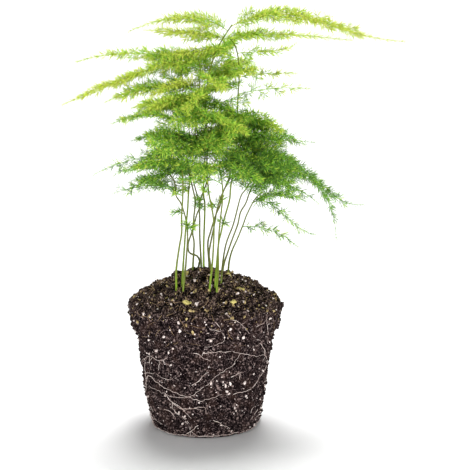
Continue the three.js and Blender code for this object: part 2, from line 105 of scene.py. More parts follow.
# The stems' own numbers
CANE_RADIUS = (0.72, 0.46)
CANE_STEP = 2.0
SHEATH = 0.12  # by which a cane is thicker at the top of the mound
SHEATH_REACH = 9  # over which that fades, up and down
STOUT = 0.42  # a line that is thicker than this gets more sides
STOUT_SIDES = 8
HOLE_FLOOR = 92.0  # the height that a cane starts at, in the soil
FOOT_RISE = 1.5  # it stands upright up to this far over the mound
ROOT_DEPTH = 1.5  # how far under the height that it leaves the cane at a spray starts
SPRAY_STEPS = 24
ROLLS = (12, -20, 16, -14, 30, -12, -32, -24, 8)  # of a stem's sprays about their lines, by turns
RACHIS_RADIUS = (0.36, 0.16)
TWIG_RADIUS = (0.2, 0.12)
TWIG_ANGLE = (58, 36)
TWIG_SPACING = 3.2
BARE_SHARE = 0.03  # of a spray, at its root
TIP_SHARE = 0.82  # past this a spray has no twigs yet, only small tufts
LONG_TIPS = {  # the same share for some, by stem and spray
    (1, 0): 0.74, (1, 1): 0.62, (1, 3): 0.52, (3, 1): 0.7, (13, 1): 0.6,
}
BRANCH_ANGLE = (38, 56)  # of a twig's own branches
BRANCH_SPACING = (2.6, 3.6)
LONGEST_BRANCH = 5.5
TUFT_SPACING = 2.6
NEEDLE_LENGTH = 6.2
NEEDLE_RADIUS = {"young": 0.31, "grown": 0.29, "old": 0.27}
NEEDLE_WAIST = 0.45  # share of its length from its foot to where it is widest
NEEDLE_LEAN = (18, 64)
NEEDLES = 4
NEEDLE_SHAPES = 8

# The crown that the fuller sprays stay in: how far it reaches left and right at some heights
CROWN = [(172, -50, 82), (186, -54, 76), (200, -48, 62), (218, -40, 46), (236, -34, 26),
         (252, -50, 24), (268, -48, 30), (276, -30, 30)]
CROWN_DEPTH = 54
CROWN_FOOT = (199, 174)  # the lowest that they hang, in the middle and from FOOT_REACH outwards
FOOT_REACH = 66
FULLER_SPRAYS = {"young": 4, "grown": 6, "old": 7}
FULLER_ROLL = {"young": 18, "grown": 50, "old": 55}  # at most, about their lines
FULLER_LENGTH = (16, 50)
LOWEST_FULLER = 180
FAR = 60  # as far as their room is measured
FAR_STEP = 3
GOLDEN_ANGLE = 137.5  # from each to the next
LIT_SHARE = 0.16  # of them are fresh light green ones
LIT_MOOD = 0.9  # how much younger those are
SPARSE_WIDTH = {"young": 11, "grown": 14, "old": 14}  # a narrower spray has few twigs
FRESHNESS = 0.7  # how much younger a spray's tip is than its root
AIRINESS = {"young": 0.85, "grown": 1.1, "old": 1.2}  # by which its twigs are spaced apart
SPARSENESS = 1.7  # the same where there are few
SPRIGS = (150, 184)  # the heights between which the canes bear a few small sprigs
SPRIG_WIDTH = 3.5
SPRIG_SPACING = 2.6  # of its twigs
YOUNG_TOP = 282  # the height from which upwards a stem's needles are at their youngest
OLDEST_DEPTH = 105  # how far under it they are at their oldest

# The bands of the growth map, up its second axis: canes, then twigs, then needles
CANE_BAND = (0.01, 0.09)
CANES_END = 0.1
TWIG_BAND = (0.11, 0.15)
TWIGS_END = 0.175
NEEDLE_BAND = (0.2, 0.99)
TONE_SPREAD = 0.16  # from one side of a needle to the other
NEEDLE_SHIFT = {"young": 0.3, "grown": 0.5, "old": 0.55}  # of a needle's tone from its tuft's

# Each stem: its age, where it leaves the soil, the points that its cane runs through, and its
# sprays. A spray is [height on the cane, heading, length, three climbs, width].
STEMS = [
    ("young", (-1, 3),
     [(-1, 4, 134), (0, 2, 163), (-1, 1, 175), (1, -2, 212), (1, -2, 237), (3, -2, 256),
      (8, -2, 274), (14, -2, 285), (20, -2, 294)],
     [(294, -4, 126, 34, -15, -1, 17), (291, 176, 74, 38, -4, -22, 14),
      (287, 188, 56, 10, 4, 4, 12), (284, 8, 94, 14, -2, -6, 13),
      (240, 221, 58, 15, -5, -15, 18), (226, 306, 50, 15, -5, -25, 18),
      (272, 82, 58, 25, 0, -20, 16)]),
    ("young", (8, -24),
     [(10, -16, 137), (12, -12, 146), (14, -12, 155), (18, -10, 169), (19, -9, 179),
      (23, -6, 205), (24, 0, 240), (25, 0, 256), (24, 2, 272), (21, 3, 281), (17, 4, 285)],
     [(285, 168, 46, 10, 6, 0, 8), (275, 3, 43, 8, 4, 30, 10), (271, 200, 56, 26, 2, -10, 14),
      (258, -12, 42, 14, 4, -2, 7), (246, 4, 52, 14, 4, -6, 8), (250, 140, 36, 6, -6, -22, 15),
      (228, 328, 38, 12, -10, -30, 17), (214, 20, 40, 12, -10, -30, 16),
      (262, 284, 34, 14, 0, -12, 11)]),
    ("young", (-16, -22),
     [(-14, -18, 141), (-13, -16, 153), (-12, -14, 163), (-11, -11, 178), (-7, -6, 212),
      (-4, -4, 242), (-3, -4, 262), (-4, -4, 270)],
     [(270, 192, 102, -2, -19, -23, 16), (265, 172, 92, 24, 2, -18, 12),
      (258, 50, 46, 18, 0, -10, 14), (252, 200, 70, 10, -8, -24, 18),
      (246, 262, 46, 5, -10, -40, 15), (238, 150, 58, 15, -5, -20, 18),
      (262, 108, 54, 20, 0, -15, 16)]),
    ("grown", (4, -30),
     [(6, -26, 128), (7, -22, 150), (6, -20, 162), (3, -17, 178), (2, -14, 200), (5, -12, 222),
      (8, -11, 240)],
     [(240, 320, 30, 18, 0, -20, 13), (232, 236, 50, 10, -5, -20, 18),
      (220, 284, 46, 5, -10, -25, 18), (205, 350, 48, 5, -10, -30, 18),
      (212, 262, 40, 14, 0, -20, 17)]),
    ("old", (12, -19),
     [(15, -11, 135), (21, -9, 152), (26, -8, 171), (30, -8, 177), (38, -8, 190)],
     [(190, -3, 88, 54, -38, 6, 15), (183, 40, 54, 24, -6, -34, 18),
      (179, 326, 48, 36, -2, -28, 15)]),
    ("old", (13, 6),
     [(17, 5, 129), (20, 4, 138), (24, 4, 149), (26, 4, 158), (30, 4, 165), (34, 5, 176),
      (42, 8, 190)],
     [(190, 14, 92, 20, -46, -88, 13), (184, 75, 56, 20, -5, -35, 18),
      (178, 350, 52, 24, -14, -40, 12)]),
    ("grown", (17, 10),
     [(19, 9, 126), (24, 9, 138), (28, 9, 148), (31, 10, 156), (37, 12, 167), (43, 13, 172)],
     [(168, 352, 52, 0, -42, -10, 9), (165, 34, 50, 30, -5, -25, 14),
      (148, -10, 44, 6, -18, -44, 8)]),
    ("grown", (-20, -26),
     [(-20, -26, 121), (-18, -25, 136), (-16, -25, 148), (-16, -25, 159), (-15, -26, 174),
      (-15, -26, 190), (-17, -27, 210), (-18, -27, 230)],
     [(230, 184, 47, 20, -2, -28, 16), (214, 250, 46, 10, -5, -25, 18),
      (199, 212, 42, 14, -2, -30, 15), (194, 300, 46, 28, 4, -20, 15)]),
    ("old", (-15, -28),
     [(-13, -24, 127), (-12, -21, 150), (-16, -20, 167), (-20, -20, 174), (-21, -20, 184),
      (-26, -20, 191)],
     [(191, 180, 40, 25, 0, -30, 12), (181, 200, 46, 14, -2, -20, 11),
      (176, 140, 46, 32, 6, -10, 12)]),
    ("old", (-5, 7),
     [(-4, 7, 121), (-6, 7, 125), (-9, 7, 126), (-12, 7, 128), (-12.5, 7, 134), (-10, 7, 142),
      (-8, 7, 149), (-6, 7, 156), (-4, 7, 163), (-7, 7, 175), (-10, 8, 186)],
     [(186, 165, 46, 30, 5, -30, 15), (179, 194, 48, 14, 2, -22, 12),
      (182, 95, 48, 24, 4, -14, 16)]),
    ("old", (-9, 3),
     [(-8, 3, 135), (-9, 2, 143), (-8, 1, 155), (-7, 0, 167), (-9, -1, 178), (-12, -2, 192),
      (-14, -2, 212)],
     [(212, 178, 40, 30, 0, -25, 15), (203, 184, 68, 4, -12, -26, 11),
      (190, 225, 50, 10, -5, -25, 18)]),
    ("old", (-3, 11),
     [(-4, 11, 138), (-4, 11, 152), (-4, 11, 164), (1, 9, 178), (8, 8, 196), (12, 8, 214)],
     [(214, 268, 40, 25, 0, -20, 16), (206, 84, 56, 15, 0, -20, 18),
      (192, 40, 52, 10, -5, -25, 18)]),
    ("old", (3, 7),
     [(2, 6, 134), (4, 6, 143), (8, 5, 156), (11, 4, 163), (13, 3, 172), (17, 2, 182),
      (25, 3, 205), (31, 4, 222)],
     [(222, 6, 46, 16, -25, -20, 14), (214, 26, 60, 4, -8, -6, 13),
      (205, 348, 48, 10, -12, -45, 18), (194, 55, 54, 10, -5, -30, 18)]),
    ("old", (4, 1),
     [(3, 0, 128), (5, -1, 140), (7, -5, 150), (9, -12, 162), (13, -17, 175), (21, -19, 190),
      (30, -20, 200)],
     [(200, 330, 52, 20, -10, -40, 18), (191, 278, 44, 34, 6, -14, 15),
      (184, 340, 52, 28, -2, -28, 14)]),
    ("grown", (9, -30),
     [(10, -24, 122), (10, -22, 136), (11, -21, 152), (13, -22, 170), (13, -24, 182),
      (11, -26, 194)],
     [(194, 250, 44, 20, 0, -20, 14), (188, 312, 42, 24, 4, -14, 14),
      (184, 215, 38, 34, 8, -8, 11)]),
]
SLOT_OF_AGE = {"young": "young_foliage", "grown": "foliage", "old": "old_foliage"}
TONE_OF_AGE = {"young": (0.0, 0.8), "grown": (0.34, 0.68), "old": (0.46, 0.90)}

# The main roots, each as the places that it runs through: (angle round the ball, height)
MAIN_ROOTS = [
    [(-180, 5), (-135, 4.5), (-90, 5), (-45, 4.5), (0, 5), (45, 4.5), (90, 5), (135, 4.5),
     (180, 5)],
    [(-176, 5), (-168, 20), (-159, 33), (-136, 33), (-118, 31), (-103, 32), (-91, 40), (-78, 49),
     (-64, 57), (-60, 64)],
    [(-48, 68), (-34, 66), (-25, 57), (-14, 48), (0, 33), (12, 5)],
    [(-91, 66), (-81, 67), (-68, 66), (-55, 63), (-38, 59), (-25, 57)],
    [(-61, 33), (-43, 35), (-36, 40), (-23, 46), (-14, 48)],
    [(-128, 32), (-121, 26), (-110, 22), (-98, 24), (-90, 22)],
    [(-121, 26), (-120, 19), (-111, 16), (-105, 9), (-105, 5)],
    [(-159, 33), (-151, 42), (-135, 38), (-119, 35), (-103, 32)],
    [(-159, 33), (-157, 50), (-145, 58), (-131, 57), (-121, 61)],
    [(-103, 32), (-91, 30), (-84, 32), (-74, 34)],
    [(30, 62), (46, 50), (58, 30), (72, 5)],
    [(160, 64), (140, 52), (122, 34), (104, 5)],
    [(96, 44), (116, 40), (146, 24), (164, 5)],
]

# Other fine roots on the front, each a line of places in the picture that it passes over
SEEN_ROOTS = [
    [(150, 356), (150, 365), (152, 370)],
    [(160, 361), (159, 370)],
    [(145, 373), (155, 373), (162, 377), (170, 379), (177, 378)],
    [(162, 408), (169, 410), (175, 416)],
    [(198, 425), (194, 429), (190, 432), (184, 435)],
    [(213, 420), (220, 423), (230, 428)],
    [(230, 377), (237, 374), (241, 372)],
    [(240, 373), (239, 379)],
    [(194, 353), (199, 354), (203, 358), (210, 361)],
    [(192, 385), (199, 381), (202, 377), (208, 372)],
    [(262, 346), (265, 354), (262, 362)],
    [(257, 405), (252, 408), (250, 413)],
    [(151, 406), (155, 418), (161, 423)],
    [(209, 329), (214, 330), (222, 332), (224, 335), (223, 342), (214, 345), (204, 347)],
    [(215, 322), (220, 327), (221, 331)],
    [(227, 315), (232, 319), (238, 322), (244, 327), (250, 334)],
    [(238, 327), (246, 321)],
    [(207, 340), (215, 338)],
    [(250, 334), (257, 339), (264, 344), (268, 353)],
    [(255, 327), (259, 325), (263, 323), (266, 319), (267, 313)],
    [(267, 309), (266, 322), (268, 334), (267, 344)],
    [(174, 403), (180, 406), (186, 412), (191, 418)],
    [(175, 411), (183, 416), (189, 423), (192, 431), (197, 435)],
    [(148, 415), (153, 423), (160, 428)],
    [(257, 409), (254, 413), (251, 419)],
    [(180, 407), (184, 409), (193, 408), (204, 407), (206, 413)],
]


def between(ends, share):
    return ends[0] + (ends[1] - ends[0]) * share


# The soil's form, as in the solids

SOIL_OUTLINE = [
    (0, 0), (BASE_RADIUS - BASE_ROUNDING, 0), (BASE_RADIUS, BASE_ROUNDING),
    (between((BASE_RADIUS, WAIST_RADIUS), 0.33), 26),
    (between((BASE_RADIUS, WAIST_RADIUS), 0.66), 48),
    (WAIST_RADIUS, WAIST_HEIGHT), (LIP_RADIUS - 3, WAIST_HEIGHT + 4),
    (LIP_RADIUS, RIM_HEIGHT - 2), (LIP_RADIUS - 4, RIM_HEIGHT + 2),
]
MOUND_RADII = (44, 32, 20, 9, 0)


def lumps(angle, height):
    return (
        0.5 * math.sin(5 * angle + 0.11 * height)
        + 0.3 * math.sin(9 * angle - 0.17 * height + 1.3)
        + 0.2 * math.sin(14 * angle + 0.23 * height + 0.4)
    )


def mound_height(radius):
    fall = (radius / (LIP_RADIUS - 4)) ** 1.5
    return between((MOUND_HEIGHT, RIM_HEIGHT + 2), fall)


def at_angle(radius, angle, height):
    return Vector((radius * math.cos(angle), radius * math.sin(angle), height))


def wall_radius(height):
    wall = SOIL_OUTLINE[2:]
    for (r0, z0), (r1, z1) in zip(wall, wall[1:]):
        if height <= z1:
            return between((r0, r1), (height - z0) / (z1 - z0))
    return wall[-1][0]


# Helpers for pieces

def dress(piece, slot, *nodes):
    """Makes a piece ride on the plant and stand for its solids, which it hides. The slot is not
    used.
    """
    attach(piece, "root")
    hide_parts(*nodes)


def piece_from(shape, name, material, smooth=True):
    mesh = bpy.data.meshes.new(name)
    shape.to_mesh(mesh)
    shape.free()
    return piece_of(mesh, name, material, smooth)


def piece_of(mesh, name, material, smooth=True):
    piece = bpy.data.objects.new(name, mesh)
    bpy.context.scene.collection.objects.link(piece)
    mesh.materials.clear()
    mesh.materials.append(material)
    if smooth:
        mesh.shade_smooth()
    return piece


def finished_mesh(piece, name):
    """The mesh that a helper object's modifiers make, after which the helper goes."""
    bpy.context.view_layer.update()
    graph = bpy.context.evaluated_depsgraph_get()
    mesh = bpy.data.meshes.new_from_object(piece.evaluated_get(graph))
    mesh.name = name
    bpy.data.objects.remove(piece)
    return mesh


# Nodes

def put(tree, kind, inputs=(), **settings):
    """Adds a node, with its settings and its inputs: each a socket to wire or a plain value."""
    node = tree.nodes.new(kind)
    for key, value in settings.items():
        setattr(node, key, value)
    for name, value in dict(inputs).items():
        if isinstance(value, bpy.types.NodeSocket):
            tree.links.new(value, node.inputs[name])
        else:
            node.inputs[name].default_value = value
    return node


def new_group(name, kind, inputs, outputs):
    """A node group with its sockets, each a name and a type, and with its two end nodes."""
    tree = bpy.data.node_groups.new(name, kind)
    for end, sockets in (("INPUT", inputs), ("OUTPUT", outputs)):
        for socket, what in sockets.items():
            tree.interface.new_socket(socket, in_out=end, socket_type=f"NodeSocket{what}")
    return tree, put(tree, "NodeGroupInput"), put(tree, "NodeGroupOutput")


def named_value(tree, name, kind="FLOAT"):
    node = put(tree, "GeometryNodeInputNamedAttribute", {"Name": name}, data_type=kind)
    return node.outputs["Attribute"]


# Tubes along lines, and shapes set on places

def growing_tree():
    """Turns lines into closed tubes of their own thickness, and sets shapes on places."""
    tree, given, made = new_group(
        "growing", "GeometryNodeTree",
        {"Lines": "Geometry", "Places": "Object", "Shapes": "Collection", "Sides": "Int"},
        {"Grown": "Geometry"})
    grown = put(tree, "GeometryNodeJoinGeometry")

    thick = named_value(tree, "thick")
    curves = put(tree, "GeometryNodeMeshToCurve", {"Mesh": given.outputs["Lines"]})
    stout = put(tree, "FunctionNodeCompare", {"A": thick, "B": STOUT * MM},
                operation="GREATER_THAN")
    parted = put(tree, "GeometryNodeSeparateGeometry",
                 {"Geometry": curves.outputs["Curve"], "Selection": stout.outputs["Result"]},
                 domain="CURVE")
    for part, sides in (("Selection", STOUT_SIDES), ("Inverted", given.outputs["Sides"])):
        ring = put(tree, "GeometryNodeCurvePrimitiveCircle", {"Radius": 1, "Resolution": sides})
        share = put(tree, "GeometryNodeSplineParameter")
        around = put(tree, "GeometryNodeStoreNamedAttribute",
                     {"Geometry": ring.outputs["Curve"], "Name": "around",
                      "Value": share.outputs["Factor"]}, data_type="FLOAT", domain="POINT")
        tubes = put(tree, "GeometryNodeCurveToMesh",
                    {"Curve": parted.outputs[part], "Profile Curve": around.outputs["Geometry"],
                     "Scale": thick, "Fill Caps": True})
        tree.links.new(tubes.outputs["Mesh"], grown.inputs["Geometry"])

    places = put(tree, "GeometryNodeObjectInfo", {"Object": given.outputs["Places"]},
                 transform_space="ORIGINAL")
    shapes = put(tree, "GeometryNodeCollectionInfo",
                 {"Collection": given.outputs["Shapes"], "Separate Children": True,
                  "Reset Children": True}, transform_space="ORIGINAL")
    turn = put(tree, "FunctionNodeEulerToRotation",
               {"Euler": named_value(tree, "turn", "FLOAT_VECTOR")})
    setting = put(tree, "GeometryNodeInstanceOnPoints",
                  {"Points": places.outputs["Geometry"], "Instance": shapes.outputs["Instances"],
                   "Pick Instance": True, "Instance Index": named_value(tree, "kind", "INT"),
                   "Rotation": turn.outputs["Rotation"], "Scale": named_value(tree, "size")})
    settled = put(tree, "GeometryNodeRealizeInstances", {"Geometry": setting.outputs["Instances"]})
    tree.links.new(settled.outputs["Geometry"], grown.inputs["Geometry"])
    tree.links.new(grown.outputs["Geometry"], made.inputs["Grown"])
    return tree


GROWING = growing_tree()


def lines_mesh(lines):
    """Lines as edges. Each line is (points in mm, radius at each point, tone, map heights)."""
    strands = bmesh.new()
    thick = strands.verts.layers.float.new("thick")
    tone = strands.verts.layers.float.new("tone")
    along = strands.verts.layers.float.new("along")
    for points, radii, shade, heights in lines:
        last = None
        for point, radius, height in zip(points, radii, heights):
            vert = strands.verts.new(point * MM)
            vert[thick], vert[tone], vert[along] = radius * MM, shade, height
            if last:
                strands.edges.new((last, vert))
            last = vert
    mesh = bpy.data.meshes.new("lines")
    strands.to_mesh(mesh)
    strands.free()
    return mesh


def places_mesh(places):
    """Places to set shapes on: each is (place in mm, turn, size, tone, kind of shape)."""
    spots = bmesh.new()
    turn = spots.verts.layers.float_vector.new("turn")
    size = spots.verts.layers.float.new("size")
    tone = spots.verts.layers.float.new("tone")
    kind = spots.verts.layers.int.new("kind")
    for place, way, scale, shade, which in places:
        vert = spots.verts.new(place * MM)
        vert[turn], vert[size], vert[tone], vert[kind] = way.to_euler(), scale, shade, which
    mesh = bpy.data.meshes.new("places")
    spots.to_mesh(mesh)
    spots.free()
    return mesh


def grown_mesh(name, lines, places, shapes, sides=3):
    """The finished mesh of tubes along lines and of shapes on places."""
    spots = bpy.data.objects.new("places", places_mesh(places))
    carrier = bpy.data.objects.new(name, lines_mesh(lines))
    for helper in (spots, carrier):
        bpy.context.scene.collection.objects.link(helper)
    growing = carrier.modifiers.new("growing", "NODES")
    growing.node_group = GROWING
    for socket in GROWING.interface.items_tree:
        if socket.name == "Places":
            growing[socket.identifier] = spots
        elif socket.name == "Shapes":
            growing[socket.identifier] = shapes
        elif socket.name == "Sides":
            growing[socket.identifier] = sides
    mesh = finished_mesh(carrier, name)
    bpy.data.objects.remove(spots)
    return mesh


def shape_set(name, shapes):
    """A collection of small shapes, named so that they keep their order."""
    kept = bpy.data.collections.new(name)
    for i, shape in enumerate(shapes):
        mesh = bpy.data.meshes.new(f"{name}_{i:02d}")
        shape.to_mesh(mesh)
        shape.free()
        kept.objects.link(bpy.data.objects.new(mesh.name, mesh))
    return kept


def let_go(shapes):
    for shape in list(shapes.objects):
        bpy.data.objects.remove(shape)
    bpy.data.collections.remove(shapes)


def turned_to(way, roll):
    """The turn that points a shape's Z axis along a way, rolled about it."""
    return way.to_track_quat("Z", "Y") @ Quaternion((0, 0, 1), roll)


# Materials

def shader(name, roughness, shine=0.5):
    """A new material, its node tree and its Principled BSDF."""
    material = bpy.data.materials.new(name)
    material.use_nodes = True
    surface = material.node_tree.nodes["Principled BSDF"]
    surface.inputs["Roughness"].default_value = roughness
    surface.inputs["Specular IOR Level"].default_value = shine
    return material, material.node_tree, surface


def ramp(tree, factor, stops):
    node = put(tree, "ShaderNodeValToRGB", {"Fac": factor})
    parts = node.color_ramp.elements
    while len(parts) < len(stops):
        parts.new(0.5)
    for part, (place, colour) in zip(parts, stops):
        part.position = place
        part.color = (*colour, 1)
    return node.outputs["Color"]


def blend_colours(tree, factor, first, second, how="MIX"):
    """A mix of two colours. Its sockets for them have the same names as those for plain values, so
    they go by number."""
    node = put(tree, "ShaderNodeMix", data_type="RGBA", blend_type=how)
    for socket, value in ((0, factor), (6, first), (7, second)):
        if isinstance(value, bpy.types.NodeSocket):
            tree.links.new(value, node.inputs[socket])
        elif socket:
            node.inputs[socket].default_value = (*value, 1)
        else:
            node.inputs[socket].default_value = value
    return node.outputs[2]


def soil_group():
    """Crumbs of peat: dark colours that change from crumb to crumb, and their height. Loose crumbs
    get a painted lightness: painted light on them, painted shade on the skin in the gaps.
    """
    tree, given, made = new_group("peat crumbs", "ShaderNodeTree",
                                  {"Place": "Vector", "Lightness": "Float"},
                                  {"Colour": "Color", "Height": "Float"})
    place = given.outputs["Place"]
    patches = put(tree, "ShaderNodeTexNoise", {"Vector": place, "Scale": 110, "Detail": 3})
    grit = put(tree, "ShaderNodeTexNoise",
               {"Vector": place, "Scale": 1000, "Detail": 3, "Roughness": 0.6})
    crumbs = put(tree, "ShaderNodeTexVoronoi", {"Vector": place, "Scale": 780})
    dark = ramp(tree, grit.outputs["Fac"],
                [(0.38, (0.001, 0.0006, 0.0008)), (0.48, (0.004, 0.002, 0.0025)),
                 (0.56, (0.018, 0.011, 0.012)), (0.70, (0.29, 0.215, 0.205))])
    warm = blend_colours(tree, ramp(tree, patches.outputs["Fac"],
                                    [(0.5, (0, 0, 0)), (0.72, (0.4, 0.4, 0.4))]),
                         dark, (0.060, 0.032, 0.024))
    fleck = ramp(tree, crumbs.outputs["Color"], [(0.80, (0, 0, 0)), (0.86, (0.7, 0.7, 0.7))])
    flecked = blend_colours(tree, fleck, warm, (0.30, 0.22, 0.20))
    height = put(tree, "ShaderNodeSeparateXYZ", {"Vector": place}).outputs["Z"]
    top = put(tree, "ShaderNodeMapRange",
              {"Value": height, "From Min": (RIM_HEIGHT - 5) * MM,
               "From Max": (RIM_HEIGHT + 12) * MM})
    light_crumbs = ramp(tree, grit.outputs["Fac"], [(0.50, (0, 0, 0)), (0.64, (0.95, 0.95, 0.95))])
    dried = blend_colours(tree, 1.0, top.outputs["Result"], light_crumbs, "MULTIPLY")
    topped = blend_colours(tree, dried, flecked, (0.31, 0.22, 0.16))
    # Painted light and shade: the loose crumbs are mixed toward a lighter brown, and the skin under
    # them is not
    painted_lit_crumbs = blend_colours(tree, given.outputs["Lightness"], topped, (0.17, 0.12, 0.115))
    clumps = put(tree, "ShaderNodeTexNoise", {"Vector": place, "Scale": 165, "Detail": 2})
    wet = ramp(tree, clumps.outputs["Fac"], [(0.40, (0.22, 0.22, 0.24)), (0.52, (1, 1, 1))])
    on_wall = blend_colours(tree, 0.6, wet, (1, 1, 1))
    dampness = blend_colours(tree, top.outputs["Result"], on_wall, wet)
    damp = blend_colours(tree, 1.0, painted_lit_crumbs, dampness, "MULTIPLY")
    tree.links.new(damp, made.inputs["Colour"])
    relief = put(tree, "ShaderNodeMath", {0: grit.outputs["Fac"], 1: crumbs.outputs["Distance"]},
                 operation="ADD")
    tree.links.new(relief.outputs[0], made.inputs["Height"])
    return tree


def soil_material(name, group, painted_lightness, bump):
    material, tree, surface = shader(name, 0.95, 0.02)
    place = put(tree, "ShaderNodeTexCoord").outputs["Object"]
    peat = put(tree, "ShaderNodeGroup", {"Place": place, "Lightness": painted_lightness}, node_tree=group)
    relief = put(tree, "ShaderNodeBump",
                 {"Height": peat.outputs["Height"], "Strength": bump, "Distance": 0.0008})
    tree.links.new(peat.outputs["Colour"], surface.inputs["Base Color"])
    tree.links.new(relief.outputs["Normal"], surface.inputs["Normal"])
    return material


def grain_material(name, light, shade, scale, roughness=0.85):
    """A mottled finish, for perlite, bark, roots and fibres."""
    material, tree, surface = shader(name, roughness)
    place = put(tree, "ShaderNodeTexCoord").outputs["Object"]
    mottle = put(tree, "ShaderNodeTexNoise",
                 {"Vector": place, "Scale": scale, "Detail": 4, "Roughness": 0.6})
    colour = ramp(tree, mottle.outputs["Fac"], [(0.35, shade), (0.62, light)])
    relief = put(tree, "ShaderNodeBump",
                 {"Height": mottle.outputs["Fac"], "Strength": 0.4, "Distance": 0.0003})
    tree.links.new(colour, surface.inputs["Base Color"])
    tree.links.new(relief.outputs["Normal"], surface.inputs["Normal"])
    return material


def leaf_group():
    """Greens over the growth map: canes at the bottom, then twigs, then needles to their tips."""
    tree, given, made = new_group("leaf greens", "ShaderNodeTree",
                                  {"Growth": "Vector", "Cane": "Color", "Sheath": "Color"},
                                  {"Colour": "Color"})
    apart = put(tree, "ShaderNodeSeparateXYZ", {"Vector": given.outputs["Growth"]})
    tone, height = apart.outputs["X"], apart.outputs["Y"]
    green = ramp(tree, tone, [
        (0.0, (0.66, 0.70, 0.09)), (0.25, (0.48, 0.66, 0.04)), (0.5, (0.24, 0.55, 0.025)),
        (0.75, (0.080, 0.32, 0.010)), (1.0, (0.016, 0.115, 0.004))])
    reach = put(tree, "ShaderNodeMapRange",
                {"Value": height, "From Min": NEEDLE_BAND[0], "From Max": NEEDLE_BAND[1]})
    tip = ramp(tree, reach.outputs["Result"], [(0.0, (0, 0, 0)), (1.0, (0.35, 0.35, 0.35))])
    needle = blend_colours(tree, tip, green, (0.43, 0.58, 0.13))
    twig = blend_colours(tree, 0.35, green, (0.21, 0.37, 0.04))
    is_needle = put(tree, "ShaderNodeMath", {0: height, 1: TWIGS_END}, operation="GREATER_THAN")
    leafy = blend_colours(tree, is_needle.outputs[0], twig, needle)
    climb = put(tree, "ShaderNodeMapRange",
                {"Value": height, "From Min": CANE_BAND[0], "From Max": CANE_BAND[1]})
    out_of_soil = ramp(tree, climb.outputs["Result"], [(0.01, (0, 0, 0)), (0.06, (1, 1, 1))])
    foot = blend_colours(tree, out_of_soil, given.outputs["Sheath"], (0.17, 0.28, 0.008))
    bare = ramp(tree, climb.outputs["Result"], [(0.08, (0, 0, 0)), (0.26, (1, 1, 1))])
    cane = blend_colours(tree, bare, foot, given.outputs["Cane"])
    is_leafy = put(tree, "ShaderNodeMath", {0: height, 1: CANES_END}, operation="GREATER_THAN")
    colour = blend_colours(tree, is_leafy.outputs[0], cane, leafy)
    tree.links.new(colour, made.inputs["Colour"])
    return tree


def leaf_material(name, group, cane, sheath):
    material, tree, surface = shader(name, 0.45, 0.18)
    growth = put(tree, "ShaderNodeUVMap", uv_map="growth")
    greens = put(tree, "ShaderNodeGroup", {"Growth": growth.outputs["UV"], "Cane": (*cane, 1),
                                           "Sheath": (*sheath, 1)}, node_tree=group)
    tree.links.new(greens.outputs["Colour"], surface.inputs["Base Color"])
    return material


PEAT = soil_group()
# The skin has no painted lightness and the loose crumbs a little: painted shade in the gaps between
# crumbs, painted light on the crumbs
SOIL = soil_material("potting soil", PEAT, 0.0, 0.9)
CRUMB = soil_material("soil crumbs", PEAT, 0.06, 0.6)
PERLITE = grain_material("perlite", (0.86, 0.78, 0.74), (0.50, 0.38, 0.34), 700)
BITS = grain_material("bark bits", (0.50, 0.40, 0.17), (0.13, 0.06, 0.03), 190)
BARK = grain_material("yellow bark chips", (0.62, 0.54, 0.18), (0.20, 0.15, 0.04), 420)
ROOT = grain_material("fine roots", (0.88, 0.77, 0.71), (0.44, 0.31, 0.27), 260, 0.6)
FIBRE = grain_material("dry fibres", (0.42, 0.29, 0.15), (0.17, 0.09, 0.05), 200)
GREENS = leaf_group()
LEAF = {
    "young": leaf_material("young needles", GREENS, (0.13, 0.18, 0.012), (0.50, 0.46, 0.06)),
    "grown": leaf_material("full-grown needles", GREENS, (0.12, 0.155, 0.015), (0.44, 0.42, 0.06)),
    "old": leaf_material("old needles", GREENS, (0.10, 0.115, 0.02), (0.36, 0.35, 0.06)),
}


# The soil ball

def soil_outline():
    """The outline in steps as fine as the skin. The lip's underside is worn round."""
    worn = [
        (WAIST_RADIUS - 0.6, WAIST_HEIGHT + 1), (WAIST_RADIUS + 2.4, WAIST_HEIGHT + 3.5),
        (LIP_RADIUS - 2.9, WAIST_HEIGHT + 7), (LIP_RADIUS - 0.8, RIM_HEIGHT - 2),
        (LIP_RADIUS - 1.8, RIM_HEIGHT + 1), (LIP_RADIUS - 5, RIM_HEIGHT + 2.4),
    ]
    base = [(0, 0), (BASE_RADIUS - 2.4, 0), (BASE_RADIUS - 0.4, 2.4)]
    corners = base + SOIL_OUTLINE[3:5] + worn + [(r, mound_height(r)) for r in MOUND_RADII]
    points = []
    for (r0, z0), (r1, z1) in zip(corners, corners[1:]):
        steps = max(1, round(math.hypot(r1 - r0, z1 - z0) / SKIN_STEP))
        for i in range(steps):
            share = i / steps
            points.append((between((r0, r1), share), between((z0, z1), share)))
    return points + [corners[-1]]


